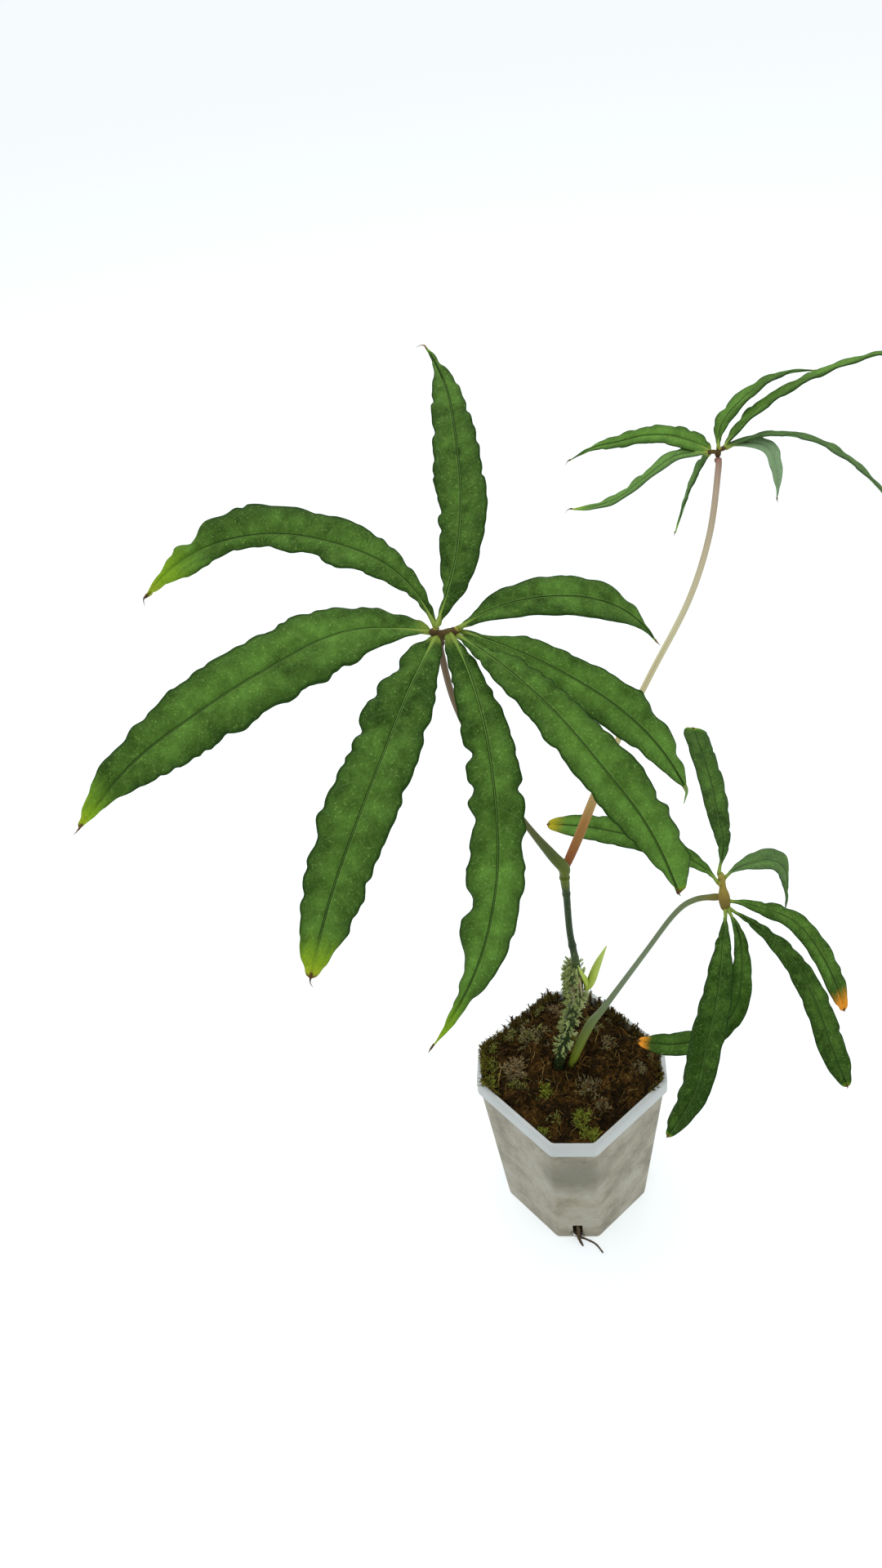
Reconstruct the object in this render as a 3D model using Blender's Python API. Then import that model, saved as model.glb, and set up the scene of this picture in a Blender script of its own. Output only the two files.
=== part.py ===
"""Potted anthurium with three palmately divided leaves in a square plastic pot.

Metres, +Z up. The origin is the centre of the pot's flat underside and the pot's four
flat sides are square to X and Y. The plant is laid out in its own directions, with -Y
towards the side it is looked at from, and turned about Z to stand in the pot.
"""
import math
import random

import bmesh
import bpy
import numpy as np
from mathutils import Matrix, Vector, noise

MM = 0.001
GAP = 0.3 * MM

# Pot
POT_HEIGHT = 100 * MM
POT_TOP = 80 * MM
POT_BASE = 66 * MM
POT_CHAMFER = 15 * MM
POT_CORNER_RADIUS = 3 * MM
POT_WALL = 1.2 * MM
POT_FLOOR = 2.0 * MM
LIP_HEIGHT = 9 * MM
LIP_STEP = 1.2 * MM
SLOT_WIDTH = 5 * MM
SLOT_HEIGHT = 14 * MM
SLOT_REACH = 37 * MM
SLOT_DEPTH = 8 * MM

# Seeds of the repeats placed by a rule
MEDIUM_SEED = 11
STEM_SEED = 5
LEAF_SEED = 3

# Growing medium
MEDIUM_EDGE = 97 * MM
MEDIUM_CROWN = 103 * MM
MEDIUM_ROUGHNESS = 1.6 * MM
MEDIUM_GRAIN = 90
CLUMPS = 38
FIBRES = 56
SPREAD = 34 * MM

# Leaf blades
BLADE_EDGE = 0.8 * MM
BLADE_RIB = 1.1 * MM
STALK_HALF_WIDTH = 0.9 * MM
STALK_SHARE = 0.05

# The plant's layout directions are turned by this angle to stand in the pot.
PLANT_TURN = math.radians(-36.5)

# Each leaflet: length and width in mm, then heading, rise and roll in degrees at even
# steps from its foot to its tip, the upward fold of each half, the count of waves on
# the left and right margins, their height in mm, the share taken by the drip tip, and
# the place of its foot beside the hub in mm.
LEAVES = {
    "leaf_near": {
        "hub": (-39, -44, 387),
        "stations": 42,
        "leaflets": (
            (110, 17, (60, 84, 102), (35, 30, 15), (0, 0), 6, (9, 10), 0.7, 0.05, (-1, 0, 2)),
            (114, 19, (112, 168, 188), (38, 5, -42), (-12, -18), 18, (11, 10), 1.3, 0.06, (-2, 0, 1)),
            (124, 21, (190, 203, 205), (16, -16, -33), (-12, -38, -40), 5, (11, 12), 1.6, 0.04,
             (-2, 0, 0)),
            (112, 20, (245, 238, 245), (-5, -30, -40), (-10, -22), 5, (11, 12), 1.5, 0.03,
             (-1, -1, 0)),
            (134, 17, (292, 259, 208), (-15, -42, -50), (0, 0), 5, (12, 11), 1.6, 0.11,
             (1, -1, 0)),
            (108, 21, (297, 316, 300), (3, -35, -58), (7, 17), 5, (11, 10), 0.9, 0.03, (5, 0, -1)),
            (92, 21, (314, 347, 342), (-5, -37, -60), (20, 40), 5, (9, 9), 0.8, 0.04, (6, 2, -1)),
            (81, 16, (30, 20, -5), (6, -20, -58), (22, 25), 5, (8, 8), 0.7, 0.05, (6, 0, 1)),
        ),
    },
    "leaf_far": {
        "hub": (82, 85, 370),
        "stations": 30,
        "leaflets": (
            (78, 11, (120, 138, 140), (16, -25, -36), (-25, -25), 8, (8, 8), 1.0, 0.08, (-3, 0, 0)),
            (64, 11, (180, 158, 142), (-8, -42, -8), (-8, -8), 8, (7, 7), 0.8, 0.08, (-4, 0, 0)),
            (58, 11, (105, 100, 98), (-50, -63, -65), (-60, -60), 8, (7, 7), 0.7, 0.08,
             (-3.5, 0.5, -0.5)),
            (62, 12, (75, 39, 12, 6), (32, 26, 6, -16), (-18, -18), 8, (8, 8), 1.0, 0.08, (0, 0, 1)),
            (85, 13, (30, 2, 4), (36, 17, -2), (-18, -15), 8, (8, 8), 1.1, 0.05, (2, 0, 1)),
            (86, 12, (15, -33, -22), (14, -26, -62), (-18, -15), 8, (8, 8), 1.0, 0.05, (3, 0, 1)),
            (33, 12, (-12, -55, -50), (10, -32, -85), (15, 15), 8, (5, 5), 0.8, 0.08, (3, 0, 0)),
        ),
    },
    "leaf_low": {
        "hub": (67.5, -8, 213.5),
        "stations": 30,
        "leaflets": (
            (78, 12, (71, 89, 94), (40, 25, 0), (20, 20), 6, (8, 8), 0.6, 0.05, (-1, 1, 3)),
            (56, 13, (28, 16, -40, -58), (36, 24, -68, -80), (10, 10), 6, (7, 7), 0.7, 0.05,
             (1, 1, 1.5)),
            (70, 13, (-12, -58, -68), (-6, -32, -55), (0, 0), 6, (8, 8), 0.9, 0.05, (1.5, -1, 0)),
            (91, 14, (-62, -61, -78), (-2, -40, -50), (0, 0), 6, (9, 9), 1.0, 0.04, (1, -1.5, -0.5)),
            (101, 11, (275, 265, 160, 155), (0, -50, -40, 0), (25, 25), 6, (9, 9), 0.7, 0.05,
             (0.5, -1.5, 0)),
            (104, 14, (254, 243, 226), (-10, -35, -50), (25, 25), 6, (10, 10), 0.8, 0.04,
             (-0.5, -1.5, 0)),
            (83, 12, (120, 152, 159), (22, 4, 0), (-20, -20), 6, (8, 8), 0.6, 0.04, (-2, 0, 2)),
        ),
    },
}

# Centrelines in mm as (x, y, z, radius), from the foot upwards.
STEM = (
    (-8, -1.5, 78, 2.5), (-6.5, -1.5, 100, 2.6), (0, 0, 130, 2.4), (4.5, 0.5, 152, 2.4),
    (5, 0.5, 163, 2.6), (4.5, 0, 176, 1.9), (2.5, -0.5, 196, 1.6), (1.7, -1.8, 219, 1.7),
    (1.2, -2.8, 229, 1.9), (1, -3.2, 234, 2.0),
)
PETIOLE_NEAR = (
    (1, -3.2, 234.4, 2.0), (0.7, -3.8, 239.5, 2.8), (-4, -6, 249.5, 2.6), (-14, -11, 273, 1.4),
    (-27, -20, 310, 1.1), (-36, -32, 349, 1.1), (-39, -42, 377, 1.1), (-39, -43.6, 384.2, 1.1),
)
PETIOLE_FAR = (
    (0.8, -3, 237, 1.6), (4.5, 1, 241, 1.9), (10, 7, 248, 2.0), (17, 14.5, 258.5, 1.9),
    (29, 26, 277, 1.3), (46, 40, 299, 1.3), (64, 54, 322, 1.3), (75, 67, 343, 1.3),
    (81, 80, 364, 1.3), (81.6, 83.2, 367.6, 1.2),
)
PETIOLE_LOW = (
    (-1.5, -1.2, 86, 1.8), (0, -1, 100, 2.0), (9.5, 2, 124, 2.2), (18, 2, 139, 1.5),
    (36, 2, 172, 1.2), (49, 1, 197, 1.2), (57, -1.5, 207, 1.3), (66.3, -6.8, 212.6, 1.2),
)
LONG_SHEATH = (
    (9.2, 0.2, 156, 1.2), (11.3, 0.6, 161, 2.0), (14.5, 1.4, 170, 1.5), (19, 2.6, 180, 0.35),
)
SHORT_SHEATH = (
    (9.4, 0.6, 157, 0.8), (9.6, 1.2, 163, 1.1), (9.0, 1.5, 169, 0.9), (8.4, 1.6, 174, 0.35),
)

# Roots below the near slot in mm: out from the pot's axis through the slot, sideways,
# up, and the radius.
THICK_ROOT = (
    (36.9, 0, 13, 0.7), (37.2, 0.4, 8, 1.0), (37.4, 0.2, 4, 1.0), (38.5, 0.8, 1.6, 0.8),
    (41.5, 2.4, 1.2, 0.5),
)
THIN_ROOT = (
    (37.4, 0.2, 3.4, 0.7), (38.2, 4.5, 1.6, 0.55), (40.5, 9, 1.1, 0.5), (45, 12.5, 0.9, 0.4),
)


def finish(name, colour, roughness):
    """Principled material with an sRGB hex colour."""
    parts = [int(colour[i:i + 2], 16) / 255 for i in (0, 2, 4)]
    linear = [c / 12.92 if c <= 0.04045 else ((c + 0.055) / 1.055) ** 2.4 for c in parts]
    material = bpy.data.materials.new(name)
    material.use_nodes = True
    shader = material.node_tree.nodes["Principled BSDF"]
    shader.inputs["Base Color"].default_value = (*linear, 1)
    shader.inputs["Roughness"].default_value = roughness
    shader.inputs["Metallic"].default_value = 0
    return material


def shade(mesh):
    mesh.shade_smooth()
    mesh.set_sharp_from_angle(angle=math.radians(35))


def new_object(name, bm, material):
    """Scene object from a closed mesh, facing outwards."""
    bmesh.ops.recalc_face_normals(bm, faces=bm.faces)
    mesh = bpy.data.meshes.new(name)
    bm.to_mesh(mesh)
    bm.free()
    shade(mesh)
    mesh.materials.append(material)
    body = bpy.data.objects.new(name, mesh)
    bpy.context.scene.collection.objects.link(body)
    return body


def main_shell(bm):
    """Keep the largest connected shell and drop trapped hollows and offcuts."""
    bmesh.ops.dissolve_degenerate(bm, dist=1e-6, edges=bm.edges)
    waiting = set(bm.verts)
    shells = []
    while waiting:
        shell, front = set(), [waiting.pop()]
        while front:
            vertex = front.pop()
            shell.add(vertex)
            near = {edge.other_vert(vertex) for edge in vertex.link_edges} & waiting
            waiting -= near
            front += near
        shells.append(shell)
    shells.sort(key=len)
    for shell in shells[:-1]:
        bmesh.ops.delete(bm, geom=list(shell), context="VERTS")


def combine(body, others, operation):
    """Fuse the other bodies into this one, or cut them out of it, and remove them."""
    group = bpy.data.collections.new("operands")
    for other in others:
        group.objects.link(other)
    step = body.modifiers.new("combine", "BOOLEAN")
    step.operand_type = "COLLECTION"
    step.collection = group
    step.operation = operation
    step.solver = "EXACT"
    graph = bpy.context.evaluated_depsgraph_get()
    joined = bpy.data.meshes.new_from_object(body.evaluated_get(graph), depsgraph=graph)
    body.modifiers.clear()
    bm = bmesh.new()
    bm.from_mesh(joined)
    main_shell(bm)
    bm.to_mesh(joined)
    bm.free()
    shade(joined)
    plain = body.data
    joined.materials.clear()
    joined.materials.append(plain.materials[0])
    body.data = joined
    bpy.data.meshes.remove(plain)
    for other in others:
        bpy.data.objects.remove(other)
    bpy.data.collections.remove(group)


def turned(point):
    """Place of a layout point, given in mm, in the pot's own directions."""
    return Matrix.Rotation(PLANT_TURN, 3, "Z") @ Vector(point) * MM


def loft(rings, bm=None):
    """Closed skin over rings of equal count, with a flat face over each end."""
    bm = bm or bmesh.new()
    rows = [[bm.verts.new(point) for point in ring] for ring in rings]
    count = len(rows[0])
    for low, high in zip(rows, rows[1:]):
        for i in range(count):
            j = (i + 1) % count
            bm.faces.new((low[i], low[j], high[j], high[i]))
    bm.faces.new(rows[0][::-1])
    bm.faces.new(rows[-1])
    return bm


def curve_through(stations, steps):
    """Smooth curve through rows of numbers, with the same steps between each pair."""
    rows = np.array(stations, float)
    rows = np.vstack([2 * rows[0] - rows[1], rows, 2 * rows[-1] - rows[-2]])
    points = []
    for a, b, c, d in zip(rows, rows[1:], rows[2:], rows[3:]):
        for u in np.arange(steps) / steps:
            points.append(0.5 * (2 * b + (c - a) * u + (2 * a - 5 * b + 4 * c - d) * u ** 2
                                 + (3 * b - a - 3 * c + d) * u ** 3))
    points.append(rows[-2])
    return np.array(points)


def tube_rings(centres, radii, sides):
    """Round sections square to a centreline, carried along it without twisting."""
    rings = []
    centres = [Vector(centre) for centre in centres]
    across = None
    for i, centre in enumerate(centres):
        along = (centres[min(i + 1, len(centres) - 1)] - centres[max(i - 1, 0)]).normalized()
        if across is None:
            across = along.orthogonal().normalized()
        across = (across - along * across.dot(along)).normalized()
        other = along.cross(across)
        rings.append([
            centre + (across * math.cos(a) + other * math.sin(a)) * radii[i]
            for a in (2 * math.pi * k / sides for k in range(sides))
        ])
    return rings


def stalk(name, stations, material, sides=8, steps=2, grow=0.0, foot=0.0):
    """Round stalk along a table of layout stations; grow and foot widen it for a seat."""
    path = curve_through(stations, steps)
    centres = [turned(row[:3]) for row in path]
    radii = [row[3] * MM + grow for row in path]
    if foot:
        centres[0] -= (centres[1] - centres[0]).normalized() * foot
        centres[-1] += (centres[-1] - centres[-2]).normalized() * foot
    return new_object(name, loft(tube_rings(centres, radii, sides)), material)


def ball(name, place, radii, material, divisions=2):
    """Faceted egg at a layout place in mm, its radii in mm along the layout's axes."""
    bm = bmesh.new()
    bmesh.ops.create_icosphere(bm, subdivisions=divisions, radius=MM)
    bmesh.ops.scale(bm, vec=radii, verts=bm.verts)
    bmesh.ops.rotate(bm, matrix=Matrix.Rotation(PLANT_TURN, 3, "Z"), verts=bm.verts)
    bmesh.ops.translate(bm, vec=turned(place), verts=bm.verts)
    return new_object(name, bm, material)


def steps_through(values, t):
    """Value at share t of a run of evenly spaced values."""
    return float(np.interp(t, np.linspace(0, 1, len(values)), values))


def blade_half_width(t, width, drip):
    """Half width of a strap-shaped blade that narrows to a drip tip."""
    share = (t - STALK_SHARE) / (1 - STALK_SHARE - drip)
    share = min(max(share, 0.0), 1.0)
    return max(width / 2 * math.sin(math.pi * share ** 1.2) ** 0.72, STALK_HALF_WIDTH)


def leaflet(name, hub, stations, spec, material, rng):
    """Waved blade: a rib row and two margin rows on each face, split alike."""
    length, width, heading, rise, roll, fold, waves, height, drip, foot = spec
    length, width, height = length * MM, width * MM, height * MM
    fold = math.radians(fold)
    phases = [rng.uniform(0, 2 * math.pi) for _ in waves]
    place = turned(np.add(hub, foot))
    top = {"left": [], "rib": [], "right": []}
    ups = []
    for i in range(stations + 1):
        t = i / stations
        h = math.radians(steps_through(heading, t)) + PLANT_TURN
        r = math.radians(steps_through(rise, t))
        along = Vector((math.cos(r) * math.cos(h), math.cos(r) * math.sin(h), math.sin(r)))
        side = Vector((-math.sin(h), math.cos(h), 0))
        up = along.cross(side)
        turn = Matrix.Rotation(math.radians(steps_through(roll, t)), 3, along)
        side, up = turn @ side, turn @ up
        half = blade_half_width(t, width, drip)
        wavy = (half - STALK_HALF_WIDTH) / (width / 2)
        for key, sign, count, phase in zip(("left", "right"), (1, -1), waves, phases):
            beat = 2 * math.pi * count * t + phase
            lift = height * wavy * math.sin(beat)
            reach = half + 0.5 * height * wavy * math.cos(beat)
            top[key].append(place + side * sign * reach * math.cos(fold)
                            + up * (reach * math.sin(fold) + lift))
        top["rib"].append(place.copy())
        ups.append(up)
        place = place + along * (length / stations)
    bm = bmesh.new()
    faces = {}
    for level in ("top", "bottom"):
        rows = {}
        for key, points in top.items():
            thick = BLADE_RIB if key == "rib" else BLADE_EDGE
            sink = 0.0 if level == "top" else thick
            step = 2 if key == "rib" else 1
            rows[key] = [bm.verts.new(points[i] - ups[i] * sink)
                         for i in range(0, stations + 1, step)]
        faces[level] = rows
        for key in ("left", "right"):
            rib, edge = rows["rib"], rows[key]
            for k in range(stations // 2):
                bm.faces.new((rib[k], rib[k + 1], edge[2 * k + 1]))
                bm.faces.new((rib[k], edge[2 * k + 1], edge[2 * k]))
                bm.faces.new((rib[k + 1], edge[2 * k + 2], edge[2 * k + 1]))
    upper, lower = faces["top"], faces["bottom"]
    for key in ("left", "right"):
        for i in range(stations):
            bm.faces.new((upper[key][i], upper[key][i + 1], lower[key][i + 1], lower[key][i]))
    for end in (0, -1):
        for key in ("left", "right"):
            bm.faces.new((upper[key][end], upper["rib"][end], lower["rib"][end], lower[key][end]))
    bmesh.ops.triangulate(bm, faces=bm.faces)
    return new_object(name, bm, material)


def leaf(name, petiole, material, rng):
    """Leaflets fused to a knuckle at the top of the petiole, with a seat for it."""
    spec = LEAVES[name]
    hub = spec["hub"]
    body = ball(name, np.add(hub, (0, 0, -0.8)), (2.8, 2.8, 3.0), material)
    parts = [
        leaflet(name + "_leaflet", hub, spec["stations"], row, material, rng)
        for row in spec["leaflets"]
    ]
    for row in spec["leaflets"]:
        place = np.add(hub, np.multiply(row[-1], 0.75))
        parts.append(ball(name + "_knuckle", place, (2.2, 2.0, 1.9), material, divisions=1))
    combine(body, parts, "UNION")
    seat = stalk(name + "_seat", petiole, material, grow=GAP, foot=GAP)
    combine(body, [seat], "DIFFERENCE")
    return body


def octagon(width, chamfer, z):
    """Square ring with chamfered and rounded corners."""
    half = width / 2
    corners = []
    for sx, sy in ((1, 1), (-1, 1), (-1, -1), (1, -1)):
        pair = [Vector((sx * half, sy * (half - chamfer))),
                Vector((sx * (half - chamfer), sy * half))]
        corners += pair if sx * sy > 0 else pair[::-1]
    points = []
    for k, corner in enumerate(corners):
        before, after = corners[k - 1], corners[(k + 1) % len(corners)]
        reach = POT_CORNER_RADIUS * math.tan(math.radians(22.5))
        start = corner + (before - corner).normalized() * reach
        end = corner + (after - corner).normalized() * reach
        for u in (0, 0.5, 1):
            point = start.lerp(corner, u).lerp(corner.lerp(end, u), u)
            points.append(Vector((point.x, point.y, z)))
    return points


def pot_width(z):
    """Outer width across the flats of the tapered wall, without its lip."""
    top = POT_TOP - 2 * LIP_STEP
    return POT_BASE + (top - POT_BASE) * z / (POT_HEIGHT - LIP_HEIGHT)


def pot_ring(z, inset=0.0, width=None):
    """Ring of the pot wall at a height, moved square to its sides by the inset."""
    wide = (width or pot_width(z)) - 2 * inset
    return octagon(wide, POT_CHAMFER - inset * (2 - math.sqrt(2)), z)


def pot(material):
    """Tapered square pot with a stepped lip and a slot at the foot of each chamfer."""
    lip = POT_HEIGHT - LIP_HEIGHT
    rings = [
        pot_ring(0),
        pot_ring(lip),
        pot_ring(lip, width=POT_TOP),
        pot_ring(POT_HEIGHT, width=POT_TOP),
        pot_ring(POT_HEIGHT, inset=POT_WALL, width=POT_TOP - 2 * LIP_STEP),
        pot_ring(lip, inset=POT_WALL),
        pot_ring(POT_FLOOR, inset=POT_WALL),
    ]
    body = new_object("pot", loft(rings), material)
    slots = []
    for quarter in range(4):
        bm = bmesh.new()
        bmesh.ops.create_cube(bm, size=1)
        bmesh.ops.scale(bm, vec=(SLOT_DEPTH, SLOT_WIDTH, 2 * SLOT_HEIGHT), verts=bm.verts)
        bmesh.ops.translate(bm, vec=(SLOT_REACH, 0, 0), verts=bm.verts)
        turn = Matrix.Rotation(math.radians(45 + 90 * quarter), 3, "Z")
        bmesh.ops.rotate(bm, matrix=turn, verts=bm.verts)
        slots.append(new_object("pot_slot", bm, material))
    combine(body, slots, "DIFFERENCE")
    return body


def surface_height(x, y):
    """Height of the growing medium's top: a low uneven mound."""
    share = min(math.hypot(x, y) / (POT_TOP / 2), 1.0)
    mound = MEDIUM_CROWN + (MEDIUM_EDGE - MEDIUM_CROWN) * share ** 2
    rough = noise.noise(Vector((x, y, 0)) * MEDIUM_GRAIN) * MEDIUM_ROUGHNESS
    return mound + rough * (1 - 0.5 * share)


def medium_clump(material, rng):
    """Lump of moss, half sunk in the surface."""
    x, y = (rng.uniform(-SPREAD, SPREAD) for _ in range(2))
    wide = rng.uniform(3.5, 6.5) * MM
    bm = bmesh.new()
    bmesh.ops.create_icosphere(bm, subdivisions=1, radius=1)
    for vertex in bm.verts:
        vertex.co *= rng.uniform(0.8, 1.15)
    stretch = (wide, wide * rng.uniform(0.6, 0.9), wide * rng.uniform(0.45, 0.65))
    bmesh.ops.scale(bm, vec=stretch, verts=bm.verts)
    tilt = Matrix.Rotation(rng.uniform(0, math.pi), 3, "Z")
    tilt = tilt @ Matrix.Rotation(rng.uniform(-0.4, 0.4), 3, "X")
    bmesh.ops.rotate(bm, matrix=tilt, verts=bm.verts)
    bmesh.ops.translate(bm, vec=(x, y, surface_height(x, y)), verts=bm.verts)
    return new_object("medium_clump", bm, material)


def medium_fibre(material, rng):
    """Coarse fibre that arches over the surface with both ends sunk."""
    x, y = (rng.uniform(-SPREAD, SPREAD) for _ in range(2))
    heading = rng.uniform(0, 2 * math.pi)
    length = rng.uniform(9, 17) * MM
    bend = rng.uniform(-0.5, 0.5)
    centres = []
    heights = (-2.5, rng.uniform(1.5, 3.2), rng.uniform(1.5, 3.2), -2.5)
    for share, height in zip((0, 0.33, 0.67, 1), heights):
        px = x + math.cos(heading) * length * share
        py = y + math.sin(heading) * length * share
        centres.append(Vector((px, py, surface_height(px, py) + height * MM)))
        heading += bend / 3
    radius = rng.uniform(0.5, 0.75) * MM
    rings = tube_rings(centres, [radius] * 4, 3)
    return new_object("medium_fibre", loft(rings), material)


def growing_medium(material):
    """Fibrous fill of the pot with holes for the stem and the low petiole."""
    rng = random.Random(MEDIUM_SEED)
    gap = POT_WALL + GAP
    rings = [pot_ring(z, inset=gap) for z in (POT_FLOOR + GAP, POT_HEIGHT - LIP_HEIGHT)]
    rim = pot_ring(POT_HEIGHT - LIP_HEIGHT, inset=gap)
    for share in (1, 0.75, 0.5, 0.25):
        rings.append([Vector((p.x * share, p.y * share, surface_height(p.x * share, p.y * share)))
                      for p in rim])
    body = new_object("growing_medium", loft(rings), material)
    parts = [medium_clump(material, rng) for _ in range(CLUMPS)]
    parts += [medium_fibre(material, rng) for _ in range(FIBRES)]
    combine(body, parts, "UNION")
    low, high = -5 * MM, POT_HEIGHT + GAP
    wall = [
        pot_ring(low, width=POT_TOP + 20 * MM),
        pot_ring(high, width=POT_TOP + 20 * MM),
        pot_ring(high, inset=gap, width=POT_TOP - 2 * LIP_STEP),
        pot_ring(POT_HEIGHT - LIP_HEIGHT, inset=gap),
        pot_ring(POT_FLOOR + GAP, inset=gap),
    ]
    trim = new_object("medium_trim", loft(wall), material)
    holes = [
        stalk("stem_hole", STEM[:4], material, grow=GAP, foot=GAP),
        stalk("petiole_hole", PETIOLE_LOW[:3], material, grow=GAP, foot=GAP),
    ]
    combine(body, [trim] + holes, "DIFFERENCE")
    return body


def stem(material):
    """Stem with a rooting node: a swelling with short aerial roots."""
    rng = random.Random(STEM_SEED)
    body = stalk("stem", STEM, material)
    parts = [ball("node", (4, 0.3, 163), (3.6, 3.4, 6.5), material)]
    for k in range(7):
        angle = math.radians(100 + 36 * k)
        length = rng.uniform(5, 9)
        start = Vector((4, 0.3, 166 - 1.2 * k))
        out = Vector((math.cos(angle), math.sin(angle), 0))
        drop = Vector((0, 0, -length))
        path = [start + out * 1.5, start + out * 4.2, start + out * 5.2 + drop / 2,
                start + out * 5.6 + drop]
        radii = [radius * MM for radius in (0.9, 0.8, 0.7, 0.4)]
        rings = tube_rings([turned(point) for point in path], radii, 5)
        parts.append(new_object("aerial_root", loft(rings), material))
    combine(body, parts, "UNION")
    return body


def shoot(material):
    """Pair of young sheaths beside the rooting node."""
    body = stalk("shoot", LONG_SHEATH, material)
    part = stalk("short_sheath", SHORT_SHEATH, material)
    combine(body, [part], "UNION")
    return body


def drain_root(material):
    """Root that leaves the slot at the near corner and runs on along the ground."""
    diagonal = Vector((-1, -1, 0)).normalized()
    beside = Vector((1, -1, 0)).normalized()
    bodies = []
    for name, rows in (("drain_root", THICK_ROOT), ("thin_root", THIN_ROOT)):
        path = curve_through(rows, 3)
        centres = [(diagonal * row[0] + beside * row[1] + Vector((0, 0, row[2]))) * MM
                   for row in path]
        rings = tube_rings(centres, [row[3] * MM for row in path], 7)
        bodies.append(new_object(name, loft(rings), material))
    combine(bodies[0], bodies[1:], "UNION")
    return bodies[0]


def main():
    for item in list(bpy.data.objects):
        bpy.data.objects.remove(item)
    plastic = finish("translucent_plastic", "C9C9CC", 0.35)
    moss = finish("moss_and_fibre", "4A3620", 0.95)
    green = finish("green_stem", "4C6A2E", 0.5)
    brown = finish("brown_petiole", "8C7656", 0.5)
    pale = finish("pale_petiole", "B9A98A", 0.5)
    lime = finish("young_sheath", "A8BE4A", 0.5)
    root = finish("dry_root", "5A4632", 0.9)
    blade = finish("leaf_blade", "2F5A24", 0.45)
    rng = random.Random(LEAF_SEED)
    pot(plastic)
    growing_medium(moss)
    stem(green)
    petiole_near = stalk("petiole_near", PETIOLE_NEAR, brown)
    socket = stalk("socket", PETIOLE_FAR[:5], brown, grow=GAP, foot=GAP)
    combine(petiole_near, [socket], "DIFFERENCE")
    stalk("petiole_far", PETIOLE_FAR, pale)
    stalk("petiole_low", PETIOLE_LOW, green)
    leaf("leaf_near", PETIOLE_NEAR, blade, rng)
    leaf("leaf_far", PETIOLE_FAR, blade, rng)
    leaf("leaf_low", PETIOLE_LOW, blade, rng)
    shoot(lime)
    drain_root(root)


main()
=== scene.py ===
import math
import random

import bmesh
import bpy
import numpy as np
from mathutils import Matrix, Vector
from mathutils.bvhtree import BVHTree


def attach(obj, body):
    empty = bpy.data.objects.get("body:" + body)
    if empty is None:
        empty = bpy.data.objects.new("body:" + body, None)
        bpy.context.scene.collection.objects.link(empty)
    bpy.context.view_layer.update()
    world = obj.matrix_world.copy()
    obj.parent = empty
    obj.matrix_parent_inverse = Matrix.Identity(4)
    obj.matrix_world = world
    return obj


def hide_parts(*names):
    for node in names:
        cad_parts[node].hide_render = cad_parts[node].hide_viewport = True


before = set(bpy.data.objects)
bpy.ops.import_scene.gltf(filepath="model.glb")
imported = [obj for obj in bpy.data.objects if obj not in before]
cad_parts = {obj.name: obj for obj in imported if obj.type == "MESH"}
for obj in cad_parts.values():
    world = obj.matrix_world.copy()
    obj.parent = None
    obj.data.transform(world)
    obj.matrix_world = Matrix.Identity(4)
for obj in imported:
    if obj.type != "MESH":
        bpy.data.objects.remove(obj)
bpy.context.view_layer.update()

MM = 0.001

# The plant's layout directions, x to the right and y away from the viewer, are turned
# by this angle to stand in the pot, as in the part's source.
PLANT_TURN = math.radians(-36.5)

# Viewpoint in the plant's layout directions, in mm, and how the camera is held.
EYE = (-44.6, -348.0, 585.9)
LOOK_DOWN = math.radians(40.4)
CAMERA_ROLL = math.radians(-7.7)
FOCAL_PIXELS = 1450
PHOTO_HEIGHT = 1920
SENSOR = 36.0

# Blades
BLADE_THICKNESS = 0.45
STEP_ALONG = 0.75
COLUMNS = 22

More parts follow.
